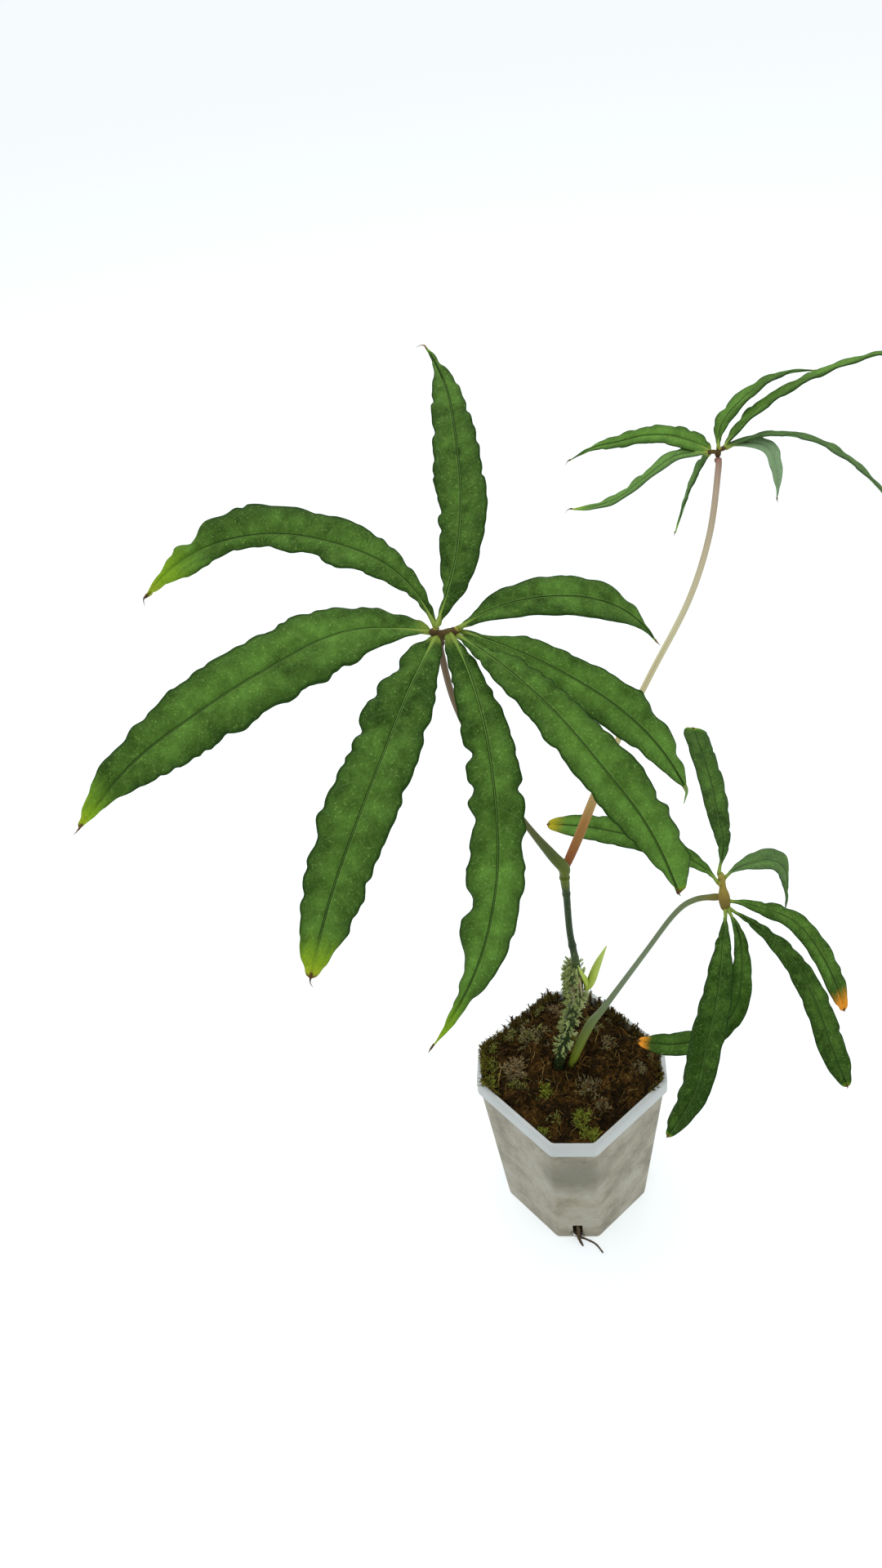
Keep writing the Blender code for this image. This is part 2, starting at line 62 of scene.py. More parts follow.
# Each leaflet: length in mm, heading, rise and roll in degrees at even steps from foot to
# tip, fold of each half, height of its waves in mm and the foot beside the hub in mm, as
# in the part's source. Then what only shows: how far in mm the foot sits up the knob, and
# the number and depth in mm of the fine ripples on a margin. Its looks are the share that
# yellows from the tip, how orange the tip is, how light the foot is and how much lighter
# the tip, which are partly the leaflet's own tone and partly painted light and shade,
# how much of the pale underside shows, and the dried thread's length in mm and tone.
# Last the rib's sideways sway in mm at even steps, and the left and right margins: half
# width in mm, the share over which it widens and by what power, the share from which it
# narrows and by what power, and the notches by share, depth and width in mm.
LEAVES = {
    "leaf_near": {
        "hub": (-39, -44, 387),
        "knuckle": 1.0,
        "knob": (),
        "stations": 42,
        "leaflets": (
            (110, (60, 84, 102), (35, 30, 15), (0, 0), 6, 0.7, (-1, 0, 2), 0, (18, 0.40),
             (0.04, 0.0, 0.30, 0.04, 0.0, 4.0, 0.5), (0, -1.0, -0.4, 0.5, 0.7, 2.5),
             (8.2, 0.47, 1.06, 0.58, 1.36, (
                 (0.080, 1.0, 5.0), (0.290, 0.4, 2.2), (0.365, 1.1, 3.2), (0.470, -0.6, 3.2),
                 (0.550, 0.3, 3.2), (0.630, 0.8, 5.0), (0.895, 1.0, 8.0))),
             (8.4, 0.32, 0.59, 0.31, 0.76, (
                 (0.045, 1.7, 3.2), (0.245, 0.6, 5.0), (0.385, -0.3, 5.0), (0.490, 0.5, 5.0),
                 (0.705, 0.4, 8.0), (0.910, 0.5, 5.0)))),
            (114, (112, 168, 188), (38, 5, -42), (-14, -22, -30, -36), 8, 1.0, (-2, 0, 1), 0, (18, 0.40),
             (0.22, 0.0, 0.26, 0.20, 0.0, 3.0, 0.2), (-1.5, -1.5, 0.4, -0.4, -1.2, 0),
             (7.7, 0.32, 1.60, 0.20, 0.30, (
                 (0.140, 0.8, 8.0), (0.275, 1.6, 2.2), (0.340, -1.8, 5.0), (0.435, 1.8, 5.0),
                 (0.600, 3.4, 8.0), (0.695, 1.4, 3.2), (0.760, -1.6, 1.5), (0.805, -2.9, 5.0),
                 (0.960, 2.4, 8.0))),
             (11.1, 0.70, 0.82, 0.59, 1.30, (
                 (0.155, 0.6, 8.0), (0.350, -0.4, 3.2), (0.460, 0.5, 8.0), (0.555, 0.3, 3.2),
                 (0.710, 0.4, 3.2), (0.790, 1.8, 3.2), (0.905, 0.4, 5.0)))),
            (124, (190, 203, 205), (16, -16, -33), (-12, -38, -40), 5, 1.2, (-2, 0, 0), 0, (20, 0.42),
             (0.12, 0.0, 0.58, -0.30, 0.0, 3.0, 0.2), (-1, -4.3, -1.5, -1.6, -2.4, 0),
             (12.8, 0.27, 1.31, 0.54, 0.99, (
                 (0.140, 1.3, 8.0), (0.205, -0.8, 2.2), (0.245, 1.5, 1.5), (0.295, -1.5, 2.2),
                 (0.350, 1.2, 2.2), (0.460, 1.8, 5.0), (0.585, 1.8, 5.0), (0.650, 1.2, 1.5),
                 (0.885, 1.1, 8.0))),
             (11.2, 0.39, 0.41, 0.36, 0.49, (
                 (0.195, 0.5, 8.0), (0.285, -0.5, 2.2), (0.360, 1.1, 2.2), (0.435, 0.5, 5.0),
                 (0.625, -0.5, 1.5), (0.680, 0.5, 5.0), (0.780, 1.1, 5.0), (0.960, 0.7, 8.0)))),
            (112, (245, 238, 245), (-5, -30, -40), (-10, -22), 5, 1.2, (-1, -1, 0), 0, (18, 0.40),
             (0.10, 0.03, 0.16, 0.42, 0.0, 2.5, 0.1), (0, -0.2, 0.6, 0.6, 0, 0),
             (10.5, 0.39, 0.59, 0.56, 0.42, (
                 (0.120, 0.7, 5.0), (0.315, 1.1, 2.2), (0.490, 0.8, 1.5), (0.635, 0.7, 8.0),
                 (0.740, 0.6, 2.2), (0.785, -0.5, 2.2), (0.835, 0.6, 1.5), (0.870, -0.5, 1.5),
                 (0.945, 1.0, 8.0))),
             (10.7, 0.42, 0.53, 0.56, 0.53, (
                 (0.150, 1.7, 3.2), (0.250, 0.8, 2.2), (0.305, -0.6, 3.2), (0.365, 0.8, 1.5),
                 (0.395, 1.0, 8.0), (0.610, -0.7, 2.2), (0.665, 1.1, 2.2), (0.825, -0.7, 2.2),
                 (0.830, 0.7, 8.0)))),
            (134, (292, 259, 208), (-15, -42, -50), (0, 0), 5, 1.2, (1, -1, 0), 0, (23, 0.42),
             (0.15, 0.0, 0.15, 0.60, 0.0, 2.0, 0.2), (2.4, 0.4, 0.0, 0.8, 0.7, -2.5),
             (8.5, 0.41, 0.88, 0.64, 1.39, (
                 (0.150, 0.6, 8.0), (0.285, 0.4, 5.0), (0.405, 1.2, 1.5), (0.470, 0.6, 1.5),
                 (0.525, 1.8, 3.2), (0.635, 1.1, 3.2), (0.720, 0.3, 3.2), (0.845, 1.2, 5.0),
                 (0.935, -0.6, 3.2))),
             (8.7, 0.70, 0.30, 0.66, 2.00, (
                 (0.315, 2.7, 2.2), (0.395, 1.3, 1.5), (0.430, -1.4, 2.2), (0.430, 1.4, 8.0),
                 (0.470, 1.1, 2.2), (0.590, -1.1, 2.2), (0.655, 1.9, 3.2), (0.710, -0.8, 3.2),
                 (0.790, 1.2, 8.0)))),
            (108, (297, 316, 300), (3, -35, -58), (7, 17), 5, 0.9, (5, 0, -1), 0, (18, 0.40),
             (0.02, 0.0, 0.25, 0.62, 0.0, 1.0, 0.2), (0, 1.2, 1.2, -0.1, 0.6, 0),
             (9.0, 0.70, 0.70, 0.75, 0.40, (
                 (0.110, 1.2, 5.0), (0.210, -0.4, 3.2), (0.435, 0.6, 8.0), (0.635, -0.6, 5.0),
                 (0.755, 0.5, 1.5), (0.765, 0.8, 8.0), (0.780, -0.5, 1.5), (0.920, -0.9, 1.5))),
             (8.7, 0.54, 0.80, 0.66, 1.09, (
                 (0.145, 0.4, 8.0), (0.315, 1.4, 3.2), (0.395, 0.7, 1.5), (0.435, -0.6, 1.5),
                 (0.480, 0.5, 1.5), (0.610, 0.4, 8.0)))),
            (92, (314, 347, 342), (-5, -37, -60), (20, 40), 5, 0.8, (6, 2, -1), 0, (14, 0.2),
             (0.02, 0.0, 0.26, 0.44, 0.0, 5.0, 1.0), (0, 2.1, 2.7, 2.2, 0.9, -1.5),
             (8.7, 0.68, 0.74, 0.60, 0.72, (
                 (0.090, 1.3, 5.0), (0.230, -0.4, 5.0), (0.415, 0.5, 8.0), (0.585, 0.3, 3.2),
                 (0.655, -0.7, 1.5), (0.735, 1.1, 3.2), (0.890, 0.9, 2.2))),
             (8.5, 0.60, 0.75, 0.55, 0.80, ((0.750, 0.8, 3.0),))),
            (81, (30, 20, -5), (6, -20, -58), (22, 25), 5, 0.7, (6, 0, 1), 0, (12, 0.14),
             (0.03, 0.0, 0.32, 0.05, 0.0, 3.0, 0.5), (0, 0.4, 0, -0.3, 0, -1.6),
             (8.3, 0.49, 0.82, 0.64, 1.25, (
                 (0.060, 0.9, 5.0), (0.310, 0.4, 5.0), (0.835, 0.6, 8.0), (0.840, -0.4, 2.2),
                 (0.910, 0.5, 2.2))),
             (8.4, 0.55, 0.76, 0.62, 1.30, (
                 (0.090, 0.7, 3.2), (0.305, 0.3, 5.0), (0.715, 0.5, 5.0), (0.870, 0.7, 5.0)))),
        ),
    },
    "leaf_far": {
        "hub": (82, 85, 370),
        "knuckle": 0.7,
        "knob": (),
        "stations": 30,
        "leaflets": (
            (78, (120, 138, 140), (16, -25, -36), (-25, -25), 8, 1.0, (-3, 0, 0), 0, (9, 0.35),
             (0.06, 0.0, 0.80, 0.0, 0.0, 3.0, 0.2), (0, 1.25, 2.05, 1.7, -1.1, -1),
             (4.9, 0.15, 0.6, 0.42, 1.3, ()), (4.9, 0.15, 0.6, 0.42, 1.3, ())),
            (64, (180, 158, 142), (-8, -42, -8), (-8, -8), 8, 0.8, (-4, 0, 0), 0, (8, 0.3),
             (0.16, 0.0, 0.90, 0.0, 0.15, 3.0, 0.2), (0, -4.8, -1.2, 0.5, 0, 0),
             (4.4, 0.3, 0.6, 0.5, 0.9, ()), (4.4, 0.3, 0.6, 0.5, 0.9, ())),
            (58, (105, 100, 98), (-50, -63, -65), (-60, -60), 8, 0.7, (-3.5, 0.5, -0.5), 0, (7, 0.3),
             (0.25, 0.0, 0.75, 0.0, 0.0, 2.0, 0.2), (0, 0, 0, 0, 0, 0),
             (5.2, 0.3, 0.8, 0.5, 0.9, ()), (5.2, 0.3, 0.8, 0.5, 0.9, ())),
            (62, (75, 39, 12, 6), (32, 26, 6, -16), (-18, -18), 8, 1.0, (0, 0, 1), 0, (8, 0.35),
             (0.06, 0.0, 0.55, 0.0, 0.0, 3.0, 0.2), (0, 0.2, -2.5, -3.7, -1, 0),
             (5.4, 0.4, 1.0, 0.6, 0.8, ()), (5.4, 0.4, 1.0, 0.6, 0.8, ())),
            (85, (30, 2, 4), (36, 17, -2), (-18, -15), 8, 1.1, (2, 0, 1), 0, (10, 0.35),
             (0.05, 0.0, 0.75, 0.0, 0.0, 3.0, 0.2), (0, 1.8, 0, 0, 0, 0),
             (6.2, 0.35, 0.8, 0.5, 0.9, ()), (6.2, 0.35, 0.8, 0.5, 0.9, ())),
            (86, (15, -33, -22), (14, -26, -62), (-18, -15), 8, 1.0, (3, 0, 1), 0, (10, 0.35),
             (0.05, 0.0, 0.5, 0.0, 0.2, 3.0, 0.2), (0, 0, 0, 0, 0, 0),
             (6.0, 0.35, 0.8, 0.5, 0.9, ()), (6.0, 0.35, 0.8, 0.5, 0.9, ())),
            (33, (-12, -55, -50), (10, -32, -85), (15, 15), 8, 0.8, (3, 0, 0), 0, (4, 0.25),
             (0.03, 0.0, 0.65, 0.0, 0.9, 2.0, 0.2), (2, 4.5, 6, 3.2, 0.5, -1.5),
             (3.4, 0.3, 0.7, 0.5, 1.2, ()), (3.4, 0.3, 0.7, 0.5, 1.2, ())),
        ),
    },
    "leaf_low": {
        "hub": (67.5, -8, 213.5),
        "knuckle": 1.1,
        "knob": ((-6.0, 1.0), (-4.5, 2.0), (-1.0, 2.5), (1.5, 2.2), (4.0, 1.5), (7.5, 1.5), (9.5, 1.3), (10.5, 0.7)),
        "stations": 30,
        "leaflets": (
            (81, (71, 90, 97), (40, 25, 0), (20, 20), 6, 0.6, (-1, 1, 3), 7.0, (8, 0.3),
             (0.03, 0.0, 0.26, 0.0, 0.03, 0.8, 0.2), (0, -0.5, 0.9, 0.7, 0.3, -1.6),
             (6.3, 0.60, 1.2, 0.93, 0.35, ()), (6.3, 0.60, 1.2, 0.93, 0.35, ())),
            (56, (28, 16, -40, -58), (36, 24, -68, -80), (10, 10), 6, 0.7, (1, 1, 1.5), 6.0, (7, 0.3),
             (0.03, 0.0, 0.60, 0.0, 0.2, 0.8, 0.2), (0, -0.6, -2.4, -5.2, -7, -9),
             (6.6, 0.55, 1.3, 0.50, 1.5, ((0.70, 2.6, 8.0),)), (6.6, 0.55, 1.3, 0.50, 1.5, ((0.70, 2.6, 8.0),))),
            (70, (-12, -58, -68), (-6, -32, -55), (0, 0), 6, 0.9, (1.5, -1, 0), -1.0, (8, 0.35),
             (0.11, 1.0, 0.38, 0.0, 0.0, 0.8, 0.2), (0, -0.6, 2.7, 3.0, 2.3, 1),
             (5.2, 0.38, 1.0, 0.75, 0.45, ()), (5.2, 0.38, 1.0, 0.75, 0.45, ())),
            (91, (-62, -61, -78), (-2, -40, -50), (0, 0), 6, 1.0, (1, -1.5, -0.5), -3.0, (10, 0.4),
             (0.02, 0.0, 0.17, 0.0, 0.0, 0.8, 0.2), (0, 1.7, 3.4, 2.9, 0.8, 1.8),
             (6.2, 0.68, 1.0, 0.78, 0.45, ()), (6.2, 0.68, 1.0, 0.78, 0.45, ())),
            (101, (275, 265, 160, 155), (0, -50, -40, 0), (25, 5, -15, -20), 6, 0.7, (0.5, -1.5, 0), -4.0, (10, 0.3),
             (0.05, 1.0, 0.30, 0.0, 0.0, 0.6, 0.2), (0, 0, -2.1, -1.5, -0.5, -1),
             (5.4, 0.60, 1.0, 0.80, 0.5, ()), (5.4, 0.60, 1.0, 0.80, 0.5, ())),
            (104, (254, 243, 226), (-10, -35, -50), (25, 25), 6, 0.8, (-0.5, -1.5, 0), -4.0, (11, 0.3),
             (0.02, 0.0, 0.10, -0.10, 0.0, 0.8, 0.2), (0, 0.8, 1.8, 1.5, 2.2, -3),
             (7.8, 0.58, 1.15, 0.66, 0.5, ()), (7.8, 0.58, 1.15, 0.66, 0.5, ())),
            (83, (120, 152, 159), (22, 4, 0), (-20, -20), 6, 0.6, (-2, 0, 2), 5.0, (9, 0.3),
             (0.09, 0.3, 0.30, 0.75, 0.0, 0.4, 0.5), (0, -1.3, -1.6, -1.6, -1.3, 0.3),
             (6.6, 0.60, 0.9, 0.68, 0.42, ()), (6.6, 0.60, 0.9, 0.68, 0.42, ())),
        ),
    },
}

# How strongly a living drip tail curls to the side.
TAIL_CURL = -1.9

# Way up the low leaf's knob in layout directions.
KNOB_WAY = np.array((0, 0.65, 0.76))

# Centrelines in mm as (x, y, z, radius), from the foot upwards.
STEM = (
    (-8, -1.5, 78, 2.5), (-6.5, -1.5, 100, 2.6), (0, 0, 130, 2.4), (4.5, 0.5, 152, 2.4),
    (5, 0.5, 163, 2.6), (4.5, 0, 176, 1.8), (2.5, -0.5, 196, 1.5), (1.7, -1.8, 219, 1.55),
    (1.2, -2.8, 229, 1.9), (1, -3.2, 234, 2.0),
)
PETIOLE_NEAR = (
    (1, -3.2, 234.4, 2.0), (0.7, -3.8, 239.5, 2.5), (-4, -6, 249.5, 2.2), (-14, -11, 273, 1.25),
    (-27, -20, 310, 1.1), (-36, -32, 349, 1.1), (-39, -42, 377, 1.1), (-39, -43.6, 384.2, 1.1),
)
PETIOLE_FAR = (
    (0.8, -3, 237, 1.6), (4.5, 1, 241, 1.9), (10, 7, 248, 2.0), (17, 14.5, 258.5, 1.9),
    (29, 26, 277, 1.3), (46, 40, 299, 1.3), (64, 54, 322, 1.3), (75, 67, 343, 1.3),
    (81, 80, 364, 1.3), (81.6, 83.2, 367.6, 1.2),
)
PETIOLE_LOW = (
    (-1.5, -1.2, 86, 1.8), (0, -1, 100, 2.0), (9.5, 2, 124, 2.2), (18, 2, 139, 1.5),
    (36, 2, 172, 1.2), (49, 1, 197, 1.2), (57, -1.5, 207, 1.3), (66.3, -6.8, 212.6, 1.2),
)
LONG_SHEATH = (
    (9.0, -0.6, 156, 1.4), (11.3, 0.0, 161, 2.6), (14.5, 1.2, 170, 2.2), (19, 2.6, 180, 0.35),
)
SHORT_SHEATH = (
    (9.0, -1.2, 157, 1.0), (8.6, -1.6, 163, 1.6), (6.8, -2.0, 169, 1.2), (5.2, -2.2, 175, 0.3),
)

# Roots below the near slot in mm: out from the pot's axis through the slot, sideways,
# up, and the radius.
THICK_ROOT = (
    (36.9, 0, 13, 0.7), (37.2, 0.4, 8, 1.0), (37.4, 0.2, 4, 1.0), (38.5, 0.8, 1.6, 0.8),
    (41.5, 2.4, 1.2, 0.5),
)
THIN_ROOT = (
    (37.4, 0.2, 3.4, 0.7), (38.2, 4.5, 1.6, 0.55), (40.5, 9, 1.1, 0.5), (45, 12.5, 0.9, 0.4),
)

# Pot in mm
POT_HEIGHT = 100
POT_TOP = 80
POT_BASE = 66
POT_CHAMFER = 15
POT_CORNER_RADIUS = 3
POT_WALL = 1.2
POT_FLOOR = 2.0
LIP_HEIGHT = 9
LIP_STEP = 1.2
SLOT_WIDTH = 5
SLOT_HEIGHT = 14
SLOT_REACH = 37
SLOT_DEPTH = 8


def linear(colour):
    """Linear colour of an sRGB hex value."""
    parts = [int(colour[i:i + 2], 16) / 255 for i in (0, 2, 4)]
    return tuple(c / 12.92 if c <= 0.04045 else ((c + 0.055) / 1.055) ** 2.4 for c in parts) + (1.0,)


def add(tree, kind, inputs=None, stops=None, **settings):
    """Shader node with its settings, its sockets set or linked, and its ramp's colours."""
    node = tree.nodes.new(kind)
    for key, value in settings.items():
        setattr(node, key, value)
    if stops:
        points = node.color_ramp.elements
        while len(points) < len(stops):
            points.new(0.5)
        for point, (place, colour) in zip(points, stops):
            point.position = place
            point.color = linear(colour)
    for socket, value in (inputs or {}).items():
        if isinstance(value, bpy.types.NodeSocket):
            tree.links.new(value, node.inputs[socket])
        else:
            node.inputs[socket].default_value = value
    return node


def new_material(name):
    """Material with its node tree and its Principled shader."""
    material = bpy.data.materials.new(name)
    material.use_nodes = True
    return material, material.node_tree, material.node_tree.nodes["Principled BSDF"]


def blade_material(name, deep, mid, vein, margin, rib, rough, shine):
    """Leaf skin: a waxy cuticle over cells, so satin and finely grained, with side veins, and painted shade
    darkening it towards the margins.
    """
    material, tree, shader = new_material(name)
    share = add(tree, "ShaderNodeSeparateXYZ", {0: add(tree, "ShaderNodeUVMap", uv_map="share").outputs[0]})
    on_blade = add(tree, "ShaderNodeUVMap", uv_map="blade").outputs[0]
    blade = add(tree, "ShaderNodeSeparateXYZ", {0: on_blade})
    place = add(tree, "ShaderNodeTexCoord").outputs["Object"]
    t, s = share.outputs[0], blade.outputs[0]

    def calc(operation, *values, clamp=False):
        return add(tree, "ShaderNodeMath", dict(enumerate(values)), operation=operation,
                   use_clamp=clamp).outputs[0]

    def over(base, factor, hue, strength):
        part = calc("MULTIPLY", factor, strength, clamp=True)
        hue = linear(hue) if isinstance(hue, str) else hue
        return add(tree, "ShaderNodeMix", {"Factor": part, "A": base, "B": hue},
                   data_type="RGBA").outputs["Result"]

    def fade(value, start, end):
        return add(tree, "ShaderNodeMapRange", {"Value": value, "From Min": start, "From Max": end},
                   interpolation_type="SMOOTHSTEP").outputs[0]

    def noise(size, detail, where=place):
        return add(tree, "ShaderNodeTexNoise", {"Vector": where, "Scale": 1 / (size * MM),
                                                "Detail": detail}).outputs[0]

    def mark(name):
        return add(tree, "ShaderNodeAttribute", attribute_name=name).outputs["Fac"]

    x = calc("ABSOLUTE", blade.outputs[1])
    edge = calc("ABSOLUTE", calc("MULTIPLY_ADD", share.outputs[1], 2.0, -1.0))
    patches, blotches, grain = noise(24, 3.0), noise(5, 3.0), noise(0.7, 4.0)
    tone = calc("MULTIPLY_ADD", patches, 1.2, -0.60)
    tone = calc("ADD", tone, calc("MULTIPLY_ADD", blotches, 1.2, -0.60))
    # Partly the leaflet's own tone, partly painted light and shade: each leaflet is made lighter or darker at its
    # foot and towards its tip by how it sits to the light.
    lighter = calc("MULTIPLY_ADD", t, mark("gain"), mark("light"))
    tone = calc("ADD", tone, lighter, clamp=True)
    result = add(tree, "ShaderNodeMix", {"Factor": tone, "A": linear(deep), "B": linear(mid)},
                 data_type="RGBA").outputs["Result"]
    # Painted shade: the blade darkens towards both margins, where its halves turn down.
    result = over(result, fade(edge, 0.45, 1.0), margin, 0.5)
    # Side veins leave the rib every 5.5 mm and curve towards the tip.
    lean = calc("MULTIPLY_ADD", x, -0.45, s)
    lean = calc("MULTIPLY_ADD", calc("MULTIPLY", x, x), -30.0, lean)
    lean = calc("MULTIPLY_ADD", blotches, 3.2 * MM, lean)
    veins = fade(calc("PINGPONG", lean, 2.75 * MM), 0.35 * MM, 0.03 * MM)
    warped = add(tree, "ShaderNodeMix", {"Factor": 0.0016, "A": place, "B": noise(2.2, 2.0)},
                 data_type="VECTOR").outputs[1]
    small = add(tree, "ShaderNodeTexVoronoi", {"Vector": warped, "Scale": 1 / (1.5 * MM)},
                feature="DISTANCE_TO_EDGE").outputs["Distance"]
    large = add(tree, "ShaderNodeTexVoronoi", {"Vector": warped, "Scale": 1 / (3.8 * MM)},
                feature="DISTANCE_TO_EDGE").outputs["Distance"]
    net = calc("MAXIMUM", calc("MULTIPLY", fade(small, 0.12, 0.0), 0.6), fade(large, 0.05, 0.0))
    result = over(result, veins, vein, 0.07)
    result = over(result, net, vein, 0.08)
    result = over(result, fade(grain, 0.62, 0.70), vein, 0.30)
    result = over(result, fade(edge, 0.90, 0.98), margin, 0.75)
    beside = calc("ABSOLUTE", calc("SUBTRACT", blade.outputs[1], 0.60 * MM))
    result = over(result, fade(beside, 0.30 * MM, 0.10 * MM), vein, 0.12)
    result = over(result, fade(x, 0.46 * MM, 0.26 * MM), rib, 0.90)
    result = over(result, fade(t, 0.045, 0.01), "7B8F3A", 0.8)
    # The tip yellows first along the veins, and a dried one turns orange.
    from_tip = calc("SUBTRACT", 1.0, t)
    reach = calc("DIVIDE", from_tip, mark("tip"))
    along = add(tree, "ShaderNodeMapping", {"Vector": on_blade, "Scale": (0.12, 1.0, 1.0)}).outputs[0]
    ragged = calc("MULTIPLY_ADD", noise(1.6, 2.0, along), 0.9, reach)
    ripe = add(tree, "ShaderNodeValToRGB", {0: reach}, stops=(
        (0.0, "B7A24A"), (0.08, "9AAA2A"), (0.35, "7B9F1E"), (1.0, "5C8620"))).outputs[0]
    ripe = over(ripe, mark("orange"), "E2922B", 1.0)
    result = add(tree, "ShaderNodeMix", {"Factor": fade(ragged, 1.75, 0.70), "A": result, "B": ripe},
                 data_type="RGBA").outputs["Result"]
    result = over(result, fade(from_tip, 0.016, 0.004), "54361A", 0.9)
    result = over(result, mark("back"), "7F9A74", 1.0)
    value = add(tree, "ShaderNodeMapRange", {"Value": grain, "From Min": 0.25, "From Max": 0.75,
                                             "To Min": 0.80, "To Max": 1.20}).outputs[0]
    result = add(tree, "ShaderNodeHueSaturation", {"Color": result, "Value": value}).outputs[0]
    tree.links.new(result, shader.inputs["Base Color"])
    gloss = add(tree, "ShaderNodeMapRange", {"Value": grain, "To Min": rough - 0.07, "To Max": rough + 0.07})
    tree.links.new(gloss.outputs[0], shader.inputs["Roughness"])
    shader.inputs["IOR"].default_value = 1.45
    shader.inputs["Specular IOR Level"].default_value = shine
    fine = add(tree, "ShaderNodeBump", {"Height": grain, "Strength": 0.5, "Distance": 0.06 * MM}).outputs[0]
    sunk = calc("MULTIPLY_ADD", veins, -0.5, calc("MULTIPLY", net, -0.35))
    relief = add(tree, "ShaderNodeBump", {"Height": sunk, "Strength": 0.7, "Distance": 0.14 * MM,
                                          "Normal": fine}).outputs[0]
    tree.links.new(relief, shader.inputs["Normal"])
    return material


def stalk_material(name, stops, rough=0.45, streak=0.16, spots="FFFFFF", spotted=0.0):
    """Plant skin on a stalk: satin, streaked lengthwise, its colour changing from foot to top."""
    material, tree, shader = new_material(name)
    share = add(tree, "ShaderNodeUVMap", uv_map="share").outputs[0]
    place = add(tree, "ShaderNodeTexCoord").outputs["Object"]
    t = add(tree, "ShaderNodeSeparateXYZ", {0: share}).outputs[0]
    skin = add(tree, "ShaderNodeValToRGB", {0: t}, stops=stops).outputs[0]
    long = add(tree, "ShaderNodeMapping", {"Vector": share, "Scale": (6.0, 22.0, 1.0)}).outputs[0]
    streaks = add(tree, "ShaderNodeTexNoise", {"Vector": long, "Scale": 1.0, "Detail": 3.0}).outputs[0]
    specks = add(tree, "ShaderNodeTexNoise", {"Vector": place, "Scale": 1 / (0.8 * MM), "Detail": 3.0}).outputs[0]
    value = add(tree, "ShaderNodeMapRange", {"Value": streaks, "From Min": 0.3, "From Max": 0.7,
                                             "To Min": 1 - streak, "To Max": 1 + streak}).outputs[0]
    skin = add(tree, "ShaderNodeHueSaturation", {"Color": skin, "Value": value}).outputs[0]
    spot = add(tree, "ShaderNodeMapRange", {"Value": specks, "From Min": 0.56, "From Max": 0.68,
                                            "To Max": spotted}).outputs[0]
    skin = add(tree, "ShaderNodeMix", {"Factor": spot, "A": skin, "B": linear(spots)}, data_type="RGBA")
    tree.links.new(skin.outputs["Result"], shader.inputs["Base Color"])
    shader.inputs["Roughness"].default_value = rough
    shader.inputs["IOR"].default_value = 1.45
    shader.inputs["Specular IOR Level"].default_value = 0.15
    relief = add(tree, "ShaderNodeBump", {"Height": streaks, "Strength": 0.4, "Distance": 0.15 * MM})
    tree.links.new(relief.outputs[0], shader.inputs["Normal"])
    return material


def strand_material(name, stops, rough=0.85):
    """Dead or living moss and fibre: dull, and each strand of its own tone."""
    material, tree, shader = new_material(name)
    tone = add(tree, "ShaderNodeAttribute", attribute_name="light").outputs["Fac"]
    place = add(tree, "ShaderNodeTexCoord").outputs["Object"]
    mottle = add(tree, "ShaderNodeTexNoise", {"Vector": place, "Scale": 1 / (3 * MM), "Detail": 2.0}).outputs[0]
    mixed = add(tree, "ShaderNodeMath", {0: mottle, 1: 0.5, 2: -0.25}, operation="MULTIPLY_ADD").outputs[0]
    mixed = add(tree, "ShaderNodeMath", {0: mixed, 1: tone}, operation="ADD", use_clamp=True).outputs[0]
    skin = add(tree, "ShaderNodeValToRGB", {0: mixed}, stops=stops).outputs[0]
    tree.links.new(skin, shader.inputs["Base Color"])
    shader.inputs["Roughness"].default_value = rough
    shader.inputs["Specular IOR Level"].default_value = 0.12
    return material


def crumb_material(name):
    """Damp shredded peat and moss, brown and rusty on top, with painted shade making the hollows of its bump nearly
    black.
    """
    material, tree, shader = new_material(name)
    place = add(tree, "ShaderNodeTexCoord").outputs["Object"]
    coarse = add(tree, "ShaderNodeTexNoise", {"Vector": place, "Scale": 1 / (9 * MM), "Detail": 5.0,
                                              "Roughness": 0.65}).outputs[0]
    fine = add(tree, "ShaderNodeTexNoise", {"Vector": place, "Scale": 1 / (1.2 * MM), "Detail": 4.0}).outputs[0]
    # Painted shade: the fine noise that sinks the bump also darkens its low spots, so the hollows go nearly black
    # over the peat's own browns.
    both = add(tree, "ShaderNodeMath", {0: fine, 1: 0.45, 2: coarse}, operation="MULTIPLY_ADD").outputs[0]
    skin = add(tree, "ShaderNodeValToRGB", {0: both}, stops=(
        (0.50, "0F0A03"), (0.66, "241805"), (0.78, "3F2B0C"), (0.90, "5C421A"), (1.0, "84703C"))).outputs[0]
    tree.links.new(skin, shader.inputs["Base Color"])
    shader.inputs["Roughness"].default_value = 0.9
    shader.inputs["Specular IOR Level"].default_value = 0.1
    relief = add(tree, "ShaderNodeBump", {"Height": fine, "Strength": 0.9, "Distance": 0.8 * MM})
    tree.links.new(relief.outputs[0], shader.inputs["Normal"])
    return material


